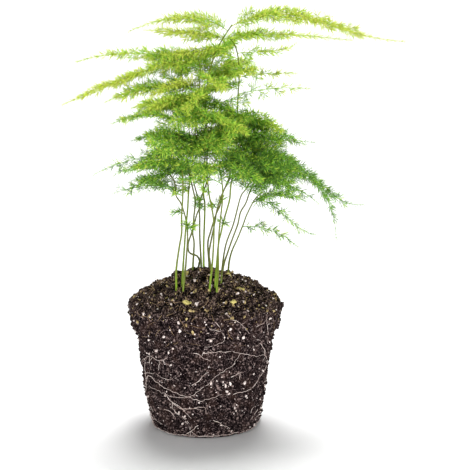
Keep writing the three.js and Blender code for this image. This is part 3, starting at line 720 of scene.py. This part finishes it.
def soil_skin():
    skin = bmesh.new()
    verts = [skin.verts.new((r * MM, 0, z * MM)) for r, z in soil_outline()]
    edges = [skin.edges.new(pair) for pair in zip(verts, verts[1:])]
    bmesh.ops.spin(skin, geom=verts + edges, cent=(0, 0, 0), axis=(0, 0, 1),
                   angle=2 * math.pi, steps=SKIN_SIDES, use_merge=True)
    bmesh.ops.remove_doubles(skin, verts=skin.verts, dist=SAME_PLACE)
    bmesh.ops.recalc_face_normals(skin, faces=skin.faces)
    for vert in skin.verts:
        place = vert.co / MM
        radius = math.hypot(place.x, place.y)
        crumble = sum(depth * noise.noise(place / width) for width, depth in CRUMBLES)
        if place.z < FLAT_BASE:
            vert.co.z += BASE_CRUMBLE * MM * max(0.0, crumble)
            if radius > BASE_RADIUS - 8:
                vert.co += Vector((place.x, place.y, 0)) / radius * crumble * MM
            continue
        if radius < 0.5:
            vert.co.z += crumble * MM
            continue
        lump = LUMP_DEPTH * lumps(math.atan2(place.y, place.x), place.z)
        if place.z > RIM_HEIGHT + 1.5:
            heap = HEAP_DEPTH * noise.noise(place / HEAP_WIDTH + Vector((5, 0, 0)))
            vert.co.z += (lump + heap + MOUND_CRUMBLE * crumble) * MM
        else:
            out = Vector((place.x, place.y, 0)) / radius
            vert.co += out * (lump + crumble) * MM
    return skin


def make_soil():
    """Makes the skin, and returns a tree of its faces to lay roots and grains on."""
    skin = soil_skin()
    tree = BVHTree.FromBMesh(skin)
    piece = piece_from(skin, "soil_ball_skin", SOIL)
    dress(piece, "soil", "soil_ball")
    return tree


def seen_on(tree, pixel):
    """The place on the soil that a place in the picture looks at, in millimetres. One just past
    the edge is brought in to it."""
    focal = LENS / SENSOR * PICTURE_SIDE
    half = PICTURE_SIDE / 2
    tilt = Matrix.Rotation(math.radians(90 - CAMERA_PITCH), 3, "X")
    across, down = pixel
    place = None
    while place is None:
        ray = Vector(((across - half) / focal, (half - down) / focal, -1))
        place = tree.ray_cast(CAMERA_PLACE, (tilt @ ray).normalized())[0]
        across += 1 if across < MIDDLE_PIXEL else -1
    return place / MM


def on_soil(tree, chance, low, high):
    """A chance place on the soil, and the way out there. A height past the rim stands for the
    mound, so that the two heights also say how much of what is set lies on it."""
    angle = chance.uniform(-math.pi, math.pi)
    height = chance.uniform(low, high)
    if height < RIM_HEIGHT:
        start = at_angle(OUTSIDE, angle, height * MM)
        way = at_angle(-1, angle, 0)
    else:
        radius = (LIP_RADIUS - 3) * math.sqrt(chance.random()) * MM
        start = at_angle(radius, angle, OVERHEAD)
        way = Vector((0, 0, -1))
    place, facing, _, _ = tree.ray_cast(start, way)
    return place / MM, facing


def pebble(chance, roughness, flatness):
    """A small uneven grain of radius 1 mm."""
    grain = bmesh.new()
    bmesh.ops.create_icosphere(grain, subdivisions=1, radius=MM)
    for vert in grain.verts:
        vert.co *= 1 + chance.uniform(-roughness, roughness)
    bmesh.ops.scale(grain, verts=grain.verts,
                    vec=(1, chance.uniform(flatness, 1), chance.uniform(flatness * 0.8, 1)))
    return grain


def chance_turn(chance):
    way = Vector([chance.gauss(0, 1) for _ in range(3)]).normalized()
    return turned_to(way, chance.uniform(0, 2 * math.pi))


def make_grains(tree, name, material, kinds, roughness, flatness, count, heights, sizes, sunk,
                seed):
    """Sets grains on the soil at chance places, the small ones far more often than the large. They
    are sunk by a share of their size."""
    chance = random.Random(seed)
    shapes = shape_set(name, [pebble(chance, roughness, flatness) for _ in range(kinds)])
    chance = random.Random(seed + 1)
    places = []
    for i in range(count):
        place, facing = on_soil(tree, chance, *heights)
        size = between(sizes, chance.random() ** 2.6)
        places.append((place - facing * sunk * size, chance_turn(chance), size, 0, i % kinds))
    mesh = grown_mesh(name, [], places, shapes)
    let_go(shapes)
    dress(piece_of(mesh, name, material, False), "soil", "soil_ball")


def make_loose_grains(tree):
    make_grains(tree, "soil_crumbs", CRUMB, kinds=8, roughness=0.34, flatness=0.8, count=5200,
                heights=(2, 150), sizes=(0.45, 2.5), sunk=0.25, seed=11)
    make_grains(tree, "perlite_grains", PERLITE, kinds=12, roughness=0.34, flatness=0.5,
                count=1150, heights=(3, 135), sizes=(0.3, 1.9), sunk=0.25, seed=23)
    # Splinters and bits of bark, tan to orange brown, most of them on the mound
    make_grains(tree, "bark_bits", BITS, kinds=6, roughness=0.3, flatness=0.35, count=690,
                heights=(82, 190), sizes=(0.4, 1.9), sunk=0.1, seed=31)


def make_chips():
    chance = random.Random(5)
    chips = bmesh.new()
    for x, y in CHIPS:
        height = mound_height(math.hypot(x, y)) + CHIP_LIFT
        chip = bmesh.new()
        bmesh.ops.create_icosphere(chip, subdivisions=3, radius=CHIP_RADIUS * MM)
        flatness = chance.uniform(0.5, 0.65)
        for vert in chip.verts:
            place = vert.co / MM
            vert.co *= 0.92 + 0.6 * noise.noise(place / 2.4 + Vector((x, y, 0)))
            vert.co *= 1 + 0.25 * noise.noise(place / 0.9)
        bmesh.ops.scale(chip, vec=(1, 0.78, flatness), verts=chip.verts)
        turn = Matrix.Rotation(chance.uniform(0, 3), 4, "Z") @ Matrix.Rotation(CHIP_LEAN, 4, "X")
        bmesh.ops.transform(chip, verts=chip.verts,
                            matrix=Matrix.Translation(Vector((x, y, height)) * MM) @ turn)
        held = bpy.data.meshes.new("chip")
        chip.to_mesh(held)
        chip.free()
        chips.from_mesh(held)
        bpy.data.meshes.remove(held)
    dress(piece_from(chips, "bark_chips", BARK, False), "soil", "soil_ball")


# The roots

def smooth_line(points, step):
    """A smooth line through points, in steps of about that many millimetres."""
    ends = [2 * points[0] - points[1], *points, 2 * points[-1] - points[-2]]
    line = []
    for a, b, c, d in zip(ends, ends[1:], ends[2:], ends[3:]):
        count = max(1, round((c - b).length / step))
        for i in range(count):
            t = i / count
            line.append(0.5 * (2 * b + (c - a) * t + (2 * a - 5 * b + 4 * c - d) * t * t
                               + (3 * b - a - 3 * c + d) * t ** 3))
    line.append(points[-1])
    return line


def nearest_on(tree, point):
    """The nearest place on the soil's skin, and the way out there. Where that is an edge, the way
    is the mean of its faces' own, so that it doesn't depend on which of them is found first."""
    place = tree.find_nearest(point * MM)[0]
    near = sorted(tree.find_nearest_range(place, SAME_PLACE), key=lambda found: found[2])
    ways = [facing for _, facing, _, _ in near]
    return place / MM, sum(ways, Vector()).normalized()


def laid_on(tree, points, radius, chance, wander=0.5):
    """A root's line on the soil's skin, with small kinks."""
    line = []
    drift = Vector((chance.uniform(0, 99), 0, 0))
    for point in smooth_line(points, ROOT_STEP):
        kink = Vector((noise.noise(point / 3 + drift), noise.noise(point / 3 - drift),
                       noise.noise(point / 2.5 + 2 * drift)))
        kink = kink * wander + Vector([chance.uniform(-0.3, 0.3) for _ in range(3)])
        place, facing = nearest_on(tree, point + kink)
        line.append(place + facing * (radius + ROOT_LIFT))
    return line


def root_strand(line, radius, chance):
    """A line of a root or fibre that gets thinner to its end, as a tube is made from."""
    count = len(line)
    radii = [radius * (1 - ROOT_TAPER * i / count) * chance.uniform(0.85, 1.1)
             for i in range(count)]
    return line, radii, 0.5, [i / count for i in range(count)]


def main_root(route):
    points = []
    for angle, height in route:
        height -= LOW_ROOT_DROP * max(0, 1 - abs(height - BASE_ROUNDING) / 4)
        points.append(at_angle(wall_radius(height) + 1, math.radians(angle), height))
    return smooth_line(points, MAIN_ROOT_STEP)


def stray_root(chance):
    """A short fine root that wanders on the side or the back of the wall."""
    angle = math.radians(chance.uniform(0, 200) - 10)
    height = chance.uniform(5, 66) if chance.random() < 0.8 else chance.uniform(5, 12)
    steps = chance.randint(3, 7)
    drift = chance.choice((-1, 1)) * chance.uniform(3, 8)
    rise = chance.uniform(-4, 4)
    points = []
    for _ in range(steps):
        radius = wall_radius(max(3, min(90, height))) + 1
        points.append(at_angle(radius, angle, max(1.5, height)))
        angle += math.radians(drift * chance.uniform(0.6, 1.3))
        height += rise + chance.uniform(-2.5, 2.5)
    return points


def make_roots(tree):
    chance = random.Random(41)
    strands = []
    for route in MAIN_ROOTS:
        radius = chance.uniform(0.17, 0.23)
        strands.append(root_strand(laid_on(tree, main_root(route), radius, chance), radius, chance))
    for pixels in SEEN_ROOTS:
        points = [seen_on(tree, pixel) for pixel in pixels]
        radius = chance.uniform(0.13, 0.22)
        strands.append(root_strand(laid_on(tree, points, radius, chance, 0.4), radius, chance))
    for _ in range(STRAY_ROOTS):
        radius = chance.uniform(0.12, 0.2)
        line = laid_on(tree, stray_root(chance), radius, chance, 1.2)
        strands.append(root_strand(line, radius, chance))
    mesh = grown_mesh("fine_roots", strands, [], None, 5)
    dress(piece_of(mesh, "fine_roots", ROOT), "roots", "root_net")


def make_fibres(tree):
    chance = random.Random(77)
    strands = []
    for _ in range(FIBRES):
        place, facing = on_soil(tree, chance, *FIBRE_HEIGHTS)
        way = facing.cross(chance_turn(chance) @ UP).normalized()
        bend = facing.cross(way) * chance.uniform(-0.6, 0.6)
        length = chance.uniform(3, 11)
        rise = chance.uniform(0.5, 4) if chance.random() < 0.2 else 0
        points = []
        for i in range(FIBRE_PARTS + 1):
            share = i / FIBRE_PARTS
            lift = facing * (0.2 + chance.uniform(0, 0.9))
            points.append(place + (way * share + bend * share * share) * length + lift)
        for i, point in enumerate(points):
            near, out = nearest_on(tree, point)
            points[i] = near + out * (chance.uniform(0.05, 0.9) + rise * (i / FIBRE_PARTS) ** 2)
        radius = chance.uniform(0.1, 0.22)
        strands.append(root_strand(smooth_line(points, FIBRE_STEP), radius, chance))
    mesh = grown_mesh("dry_fibres", strands, [], None, 3)
    dress(piece_of(mesh, "dry_fibres", FIBRE), "soil", "soil_ball")


# The leafy stems

def needle_tuft(chance, radius):
    """Needles that lean forward about the Z axis, each a slim closed spindle with its place on
    the map."""
    tuft = bmesh.new()
    along = tuft.verts.layers.float.new("along")
    around = tuft.verts.layers.float.new("around")
    shift = tuft.verts.layers.float.new("shift")
    roll = chance.uniform(0, 2 * math.pi)
    for i in range(NEEDLES):
        length = NEEDLE_LENGTH * chance.uniform(0.7, 1.15)
        foot = NEEDLE_WAIST * length
        own = chance.uniform(-1, 1)
        made = bmesh.ops.create_cone(tuft, cap_ends=True, cap_tris=True, segments=3,
                                     radius1=radius * MM, radius2=0,
                                     depth=(length - foot) * MM)["verts"]
        for k, vert in enumerate(made):
            on_axis = vert.co.xy.length < 1e-7
            tip = vert.co.z > 0
            vert[along] = between(NEEDLE_BAND, 1 if tip else 0 if on_axis else NEEDLE_WAIST)
            vert[around] = 0.5 if on_axis else (0, 0.5, 1)[k % 3]
            vert[shift] = own
            if on_axis and not tip:
                vert.co.z -= foot * MM
        lean = math.radians(chance.uniform(*NEEDLE_LEAN))
        turn = roll + 2 * math.pi * (i + chance.uniform(-0.25, 0.25)) / NEEDLES
        place = (Matrix.Rotation(turn, 4, "Z") @ Matrix.Rotation(lean, 4, "Y")
                 @ Matrix.Translation((0, 0, (foot + (length - foot) / 2) * MM)))
        bmesh.ops.transform(tuft, matrix=place, verts=made)
    bmesh.ops.remove_doubles(tuft, verts=tuft.verts, dist=1e-7)
    bmesh.ops.recalc_face_normals(tuft, faces=tuft.faces)
    return tuft


class Spray:
    """The line of a spray, which bends only up and down, through its three climbs. Its flat plane
    is rolled about that line."""

    def __init__(self, root, heading, length, climbs, roll):
        self.heading, self.climbs = math.radians(heading), climbs
        self.level = Vector((-math.sin(self.heading), math.cos(self.heading), 0))
        self.roll = math.radians(roll)
        self.points = [root]
        for i in range(SPRAY_STEPS):
            step = self.across((i + 0.5) / SPRAY_STEPS, 0) * (length / SPRAY_STEPS)
            self.points.append(self.points[-1] + step)

    def across(self, share, turn):
        """The way in the spray's flat plane that is turned from its line by an angle."""
        root, middle, tip = self.climbs
        climb = math.radians(2 * root * (share - 0.5) * (share - 1)
                             + 4 * middle * share * (1 - share)
                             + 2 * tip * share * (share - 0.5))
        along = Vector((math.cos(self.heading) * math.cos(climb),
                        math.sin(self.heading) * math.cos(climb), math.sin(climb)))
        side = Quaternion(along, self.roll) @ self.level
        return along * math.cos(turn) + side * math.sin(turn)

    def at(self, share):
        i = min(SPRAY_STEPS - 1, int(share * SPRAY_STEPS))
        return self.points[i].lerp(self.points[i + 1], share * SPRAY_STEPS - i)


def spray_width(share):
    """How long a spray's twigs are, as a share of its width: longest at a fifth of its line."""
    return min(1, 0.6 + 2.2 * share) * (1 - share) ** 0.7 * 1.15


class LeafyStem:
    """What one stem bears: its lines, which become tubes, and its tufts of needles."""

    def __init__(self, tones, seed):
        self.tones = tones
        self.chance = random.Random(seed)
        self.lines = []
        self.tufts = []

    def tone(self, mood):
        spread = self.chance.gauss(0, 0.06)
        return min(0.98, max(0.02, between(self.tones, mood) + spread))

    def twig(self, points, radii, tone):
        count = len(points) - 1
        self.lines.append((points, [between(radii, i / count) for i in range(count + 1)], tone,
                           [between(TWIG_BAND, i / count) for i in range(count + 1)]))

    def tuft(self, place, way, size, tone):
        turn = turned_to(way, self.chance.uniform(0, 2 * math.pi))
        kind = self.chance.randrange(NEEDLE_SHAPES)
        self.tufts.append((place, turn, size * self.chance.uniform(0.85, 1.12), tone, kind))

    def tufts_along(self, points, first, mood, size):
        """Sets tufts at even steps along a line, and one at its tip."""
        done = 0.0
        due = first
        for start, end in zip(points, points[1:]):
            length = (end - start).length
            way = (end - start).normalized()
            while due <= done + length:
                self.tuft(start + way * (due - done), way, size, self.tone(mood))
                due += TUFT_SPACING * self.chance.uniform(0.85, 1.15)
            done += length
        self.tuft(points[-1], way, size * 0.95, self.tone(mood))

    def bent_line(self, root, way, length, sag, forward):
        """A twig's line, which bends forward and sags a little."""
        steps = max(2, round(length / 3))
        points = [root]
        for i in range(steps):
            way = (way + (forward * 0.10 - UP * sag) * (3 / steps)).normalized()
            points.append(points[-1] + way * (length / steps))
        return points

    def grow_twig(self, root, way, length, forward, normal, mood, size):
        points = self.bent_line(root, way, length, self.chance.uniform(-0.02, 0.05), forward)
        self.twig(points, TWIG_RADIUS, self.tone(mood))
        self.tufts_along(points, 1.6, mood, size)
        reach = BRANCH_SPACING[0]
        left = self.chance.random() < 0.5
        while reach < length - BRANCH_SPACING[0]:
            share = reach / length * (len(points) - 1)
            i = min(len(points) - 2, int(share))
            start = points[i].lerp(points[i + 1], share - i)
            along = (points[i + 1] - points[i]).normalized()
            turn = math.radians(self.chance.uniform(*BRANCH_ANGLE)) * (1 if left else -1)
            branch = Quaternion(normal, turn) @ along
            branch = (branch + normal * self.chance.uniform(-0.2, 0.2)).normalized()
            far = min(LONGEST_BRANCH, 1.5 + 0.5 * (length - reach))
            far *= self.chance.uniform(0.8, 1.1)
            small = [start, start + branch * far * 0.55,
                     start + (branch * 0.95 + along * 0.12).normalized() * far]
            self.twig(small, (TWIG_RADIUS[1], TWIG_RADIUS[1] * 0.8), self.tone(mood))
            self.tufts_along(small, 1.8, mood, size * 0.92)
            left = not left
            reach += self.chance.uniform(*BRANCH_SPACING)

    def grow_spray(self, root, heading, length, climbs, width, roll, mood, spacing=TWIG_SPACING,
                   tip_share=TIP_SHARE):
        spray = Spray(root, heading, length, climbs, roll)
        self.twig(spray.points, RACHIS_RADIUS, self.tone(mood + 0.2))
        stations = max(4, round(length * (1 - BARE_SHARE) / spacing))
        for i in range(stations):
            share = BARE_SHARE + (1 - BARE_SHARE) * (i + 0.3) / stations
            size = 0.45 + 0.55 * min(1.0, (1 - share) / 0.3)
            age = mood + FRESHNESS * (0.5 - share)
            left = (i + int(heading)) % 2
            turn = math.radians(between(TWIG_ANGLE, share) + self.chance.uniform(-8, 8))
            way = spray.across(share, turn if left else -turn)
            along = spray.across(share, 0)
            normal = along.cross(spray.across(share, math.pi / 2)).normalized()
            self.tuft(spray.at(share), along, size, self.tone(age))
            if share > tip_share:
                self.tuft(spray.at(share + 0.4 / stations), along, size * 0.8, self.tone(age))
                continue
            way = (way + normal * self.chance.uniform(-0.22, 0.22)).normalized()
            reach = width * spray_width(share * TIP_SHARE / tip_share)
            reach *= self.chance.uniform(0.75, 1.12)
            self.grow_twig(spray.at(share), way, max(3.0, reach), along, normal, age, size)
        self.tuft(spray.at(1), spray.across(1, 0), 0.5, self.tone(age))


def cane_points(foot, cane):
    x, y = foot
    return [Vector((x, y, HOLE_FLOOR)), Vector((x, y, mound_height(math.hypot(x, y)) + FOOT_RISE)),
            *[Vector(point) for point in cane]]


def root_at(points, height):
    """Where a spray is rooted, a little below the height that it comes out at."""
    for low, high in zip(points, points[1:]):
        if high.z >= height:
            return low.lerp(high, (height - ROOT_DEPTH - low.z) / (high.z - low.z))
    return points[-1]


def grow_cane(stem, points):
    line = smooth_line(points, CANE_STEP)
    low, high = line[0].z, line[-1].z
    radii, heights = [], []
    for point in line:
        share = (point.z - low) / (high - low)
        sheath = SHEATH * math.exp(-((point.z - MOUND_HEIGHT) / SHEATH_REACH) ** 2)
        radii.append(between(CANE_RADIUS, share) + sheath)
        heights.append(between(CANE_BAND, share))
    stem.lines.append((line, radii, 0.5, heights))


def lay_growth_map(mesh, needle_shift):
    """Two equal maps, one for the material and one for a baked copy: across it the tone, or the
    way round a cane, and up it the place along a cane, twig or needle. Round a cane, the faces at
    the seam run on past 1."""
    corner = numpy.empty(len(mesh.loops), numpy.int32)
    mesh.loops.foreach_get("vertex_index", corner)
    found = {}
    for name in ("tone", "along", "around", "shift"):
        values = numpy.empty(len(mesh.vertices), numpy.float32)
        mesh.attributes[name].data.foreach_get("value", values)
        found[name] = values[corner]
    first = numpy.empty(len(mesh.polygons), numpy.int32)
    mesh.polygons.foreach_get("loop_start", first)
    widest = numpy.maximum.reduceat(found["around"], first)
    narrowest = numpy.minimum.reduceat(found["around"], first)
    counts = numpy.diff(numpy.append(first, len(corner)))
    seam = numpy.repeat(widest - narrowest > 0.55, counts)
    is_cane = found["along"] < CANES_END
    around = numpy.where(seam & is_cane & (found["around"] < 0.3), found["around"] + 1,
                         found["around"])
    across = numpy.where(is_cane, 0.05 + 0.9 * around / 1.2,
                         numpy.clip(found["tone"] + needle_shift * found["shift"], 0.02, 0.98)
                         + TONE_SPREAD * (found["around"] - 0.5))
    laid = numpy.stack([across, found["along"]], axis=1).ravel()
    for name in ("growth", "OFBake"):
        layer = mesh.uv_layers.new(name=name)
        layer.uv.foreach_set("vector", laid.astype(numpy.float32))
    for name in ("tone", "along", "around", "shift", "thick", "turn", "size", "kind"):
        if name in mesh.attributes:
            mesh.attributes.remove(mesh.attributes[name])


def mood_at(stem, height, heading):
    """How old a spray's needles are: the lower, the older, and a little more on the right."""
    depth = min(1, max(0, (YOUNG_TOP - height) / OLDEST_DEPTH))
    side = 0.14 * math.cos(math.radians(heading))
    return depth * (0.75 + side) + stem.chance.uniform(-0.06, 0.18)


def in_crown(place):
    """Whether a place is inside the crown that the fuller sprays stay in."""
    for (low, *low_reach), (high, *high_reach) in zip(CROWN, CROWN[1:]):
        if low <= place.z <= high:
            share = (place.z - low) / (high - low)
            left, right = [between(reach, share) for reach in zip(low_reach, high_reach)]
            foot = between(CROWN_FOOT, min(1, abs(place.x) / FOOT_REACH))
            return left < place.x < right and abs(place.y) < CROWN_DEPTH and place.z > foot
    return False


def room_in_crown(root, heading, climb):
    """How long a spray may be, to stay inside the crown."""
    way = Vector((math.cos(heading), math.sin(heading), math.tan(math.radians(climb))))
    length = 0
    while length < FAR and in_crown(root + way * (length + FAR_STEP)):
        length += FAR_STEP
    return length


def grow_fuller(stem, age, points, sprays, index):
    """More sprays between those of the table, which fill the crown all round."""
    heights = [spray[0] for spray in sprays]
    low = max(min(heights) - 6, LOWEST_FULLER)
    high = min(max(heights), CROWN[-1][0] - 4)
    count = FULLER_SPRAYS[age]
    chance = stem.chance
    for i in range(count):
        height = between((low, high), (i + chance.uniform(0.2, 0.8)) / count)
        heading = math.radians(GOLDEN_ANGLE * (3 * index + i) + chance.uniform(-20, 20))
        root = root_at(points, height)
        length = min(room_in_crown(root, heading, -2), FULLER_LENGTH[1]) * chance.uniform(0.85, 1)
        if length < FULLER_LENGTH[0]:
            continue
        climbs = (chance.uniform(14, 38), chance.uniform(-6, 6), chance.uniform(-36, -14))
        mood = mood_at(stem, height, math.degrees(heading))
        if chance.random() < LIT_SHARE:
            mood -= LIT_MOOD
        stem.grow_spray(root, math.degrees(heading), length, climbs, chance.uniform(12, 17),
                        chance.uniform(-1, 1) * FULLER_ROLL[age], mood)


def grow_sprigs(stem, points):
    """A few small sprigs on the bare stretch of a cane, below the crown."""
    chance = stem.chance
    for _ in range(chance.choice((0, 1, 1, 2))):
        height = min(chance.uniform(*SPRIGS), points[-1].z - 2)
        climbs = (chance.uniform(30, 60), chance.uniform(0, 30), chance.uniform(-10, 20))
        stem.grow_spray(root_at(points, height), chance.uniform(0, 360), chance.uniform(4, 10),
                        climbs, SPRIG_WIDTH, chance.uniform(-60, 60), chance.uniform(0.1, 0.8),
                        SPRIG_SPACING)


def make_leafy_stems():
    chance = random.Random(3)
    shapes = {}
    for age, radius in NEEDLE_RADIUS.items():
        tufts = [needle_tuft(chance, radius) for _ in range(NEEDLE_SHAPES)]
        shapes[age] = shape_set(f"{age}_tuft", tufts)
    for index, (age, foot, cane, sprays) in enumerate(STEMS):
        stem = LeafyStem(TONE_OF_AGE[age], 100 + index)
        points = cane_points(foot, cane)
        grow_cane(stem, points)
        for i, (height, heading, length, low, middle, high, width) in enumerate(sprays):
            airiness = SPARSENESS if width < SPARSE_WIDTH[age] else AIRINESS[age]
            stem.grow_spray(root_at(points, height), heading, length, (low, middle, high), width,
                            ROLLS[i % len(ROLLS)], mood_at(stem, height, heading),
                            TWIG_SPACING * airiness, LONG_TIPS.get((index + 1, i), TIP_SHARE))
        grow_fuller(stem, age, points, sprays, index)
        grow_sprigs(stem, points)
        name = f"fern_stem_{index + 1:02d}"
        mesh = grown_mesh(name, stem.lines, stem.tufts, shapes[age], 3)
        lay_growth_map(mesh, NEEDLE_SHIFT[age])
        piece = piece_of(mesh, name, LEAF[age])
        dress(piece, SLOT_OF_AGE[age], f"leafy_stem_{index + 1:02d}")
    for tufts in shapes.values():
        let_go(tufts)


# The studio: floor, light and camera

FLOOR_REACH = 90  # metres, far past what the camera sees


def make_floor():
    floor = bmesh.new()
    bmesh.ops.create_grid(floor, x_segments=1, y_segments=1, size=FLOOR_REACH)
    material, _, surface = shader("studio floor", 0.9, 0.1)
    surface.inputs["Base Color"].default_value = (0.95, 0.95, 0.95, 1)
    piece_from(floor, "studio_floor", material, False)


def hang_light(name, energy, width, turn, lean):
    """A far light on one side of the plant, so many degrees wide, which leans that many degrees
    from overhead. A turn of 0 is the front, and 90 the right."""
    light = bpy.data.lights.new(name, "SUN")
    light.energy, light.angle = energy, math.radians(width)
    lamp = bpy.data.objects.new(name, light)
    lamp.rotation_euler = (math.radians(lean), 0, math.radians(turn))
    bpy.context.scene.collection.objects.link(lamp)


def make_studio():
    make_floor()
    hang_light("top_light", energy=3.2, width=26, turn=172, lean=17)
    hang_light("left_light", energy=1.7, width=5, turn=-45, lean=87)
    hang_light("right_light", energy=2.2, width=5, turn=40, lean=87)
    world = bpy.data.worlds.new("studio")
    world.use_nodes = True
    tree = world.node_tree
    way = put(tree, "ShaderNodeTexCoord").outputs["Generated"]
    height = put(tree, "ShaderNodeSeparateXYZ", {"Vector": way}).outputs["Z"]
    walls = ramp(tree, height, [(0.16, (1, 1, 1)), (0.36, (0.33, 0.33, 0.33))])
    tree.links.new(walls, tree.nodes["Background"].inputs["Color"])
    bpy.context.scene.world = world
    bpy.context.scene.view_settings.view_transform = "Standard"
    view = bpy.data.cameras.new("photo_camera")
    view.lens, view.sensor_width = LENS, SENSOR
    camera = bpy.data.objects.new("photo_camera", view)
    camera.location = CAMERA_PLACE
    camera.rotation_euler = (math.radians(90 - CAMERA_PITCH), 0, 0)
    bpy.context.scene.collection.objects.link(camera)
    bpy.context.scene.camera = camera


make_studio()
soil_tree = make_soil()
make_loose_grains(soil_tree)
make_chips()
make_roots(soil_tree)
make_fibres(soil_tree)
make_leafy_stems()
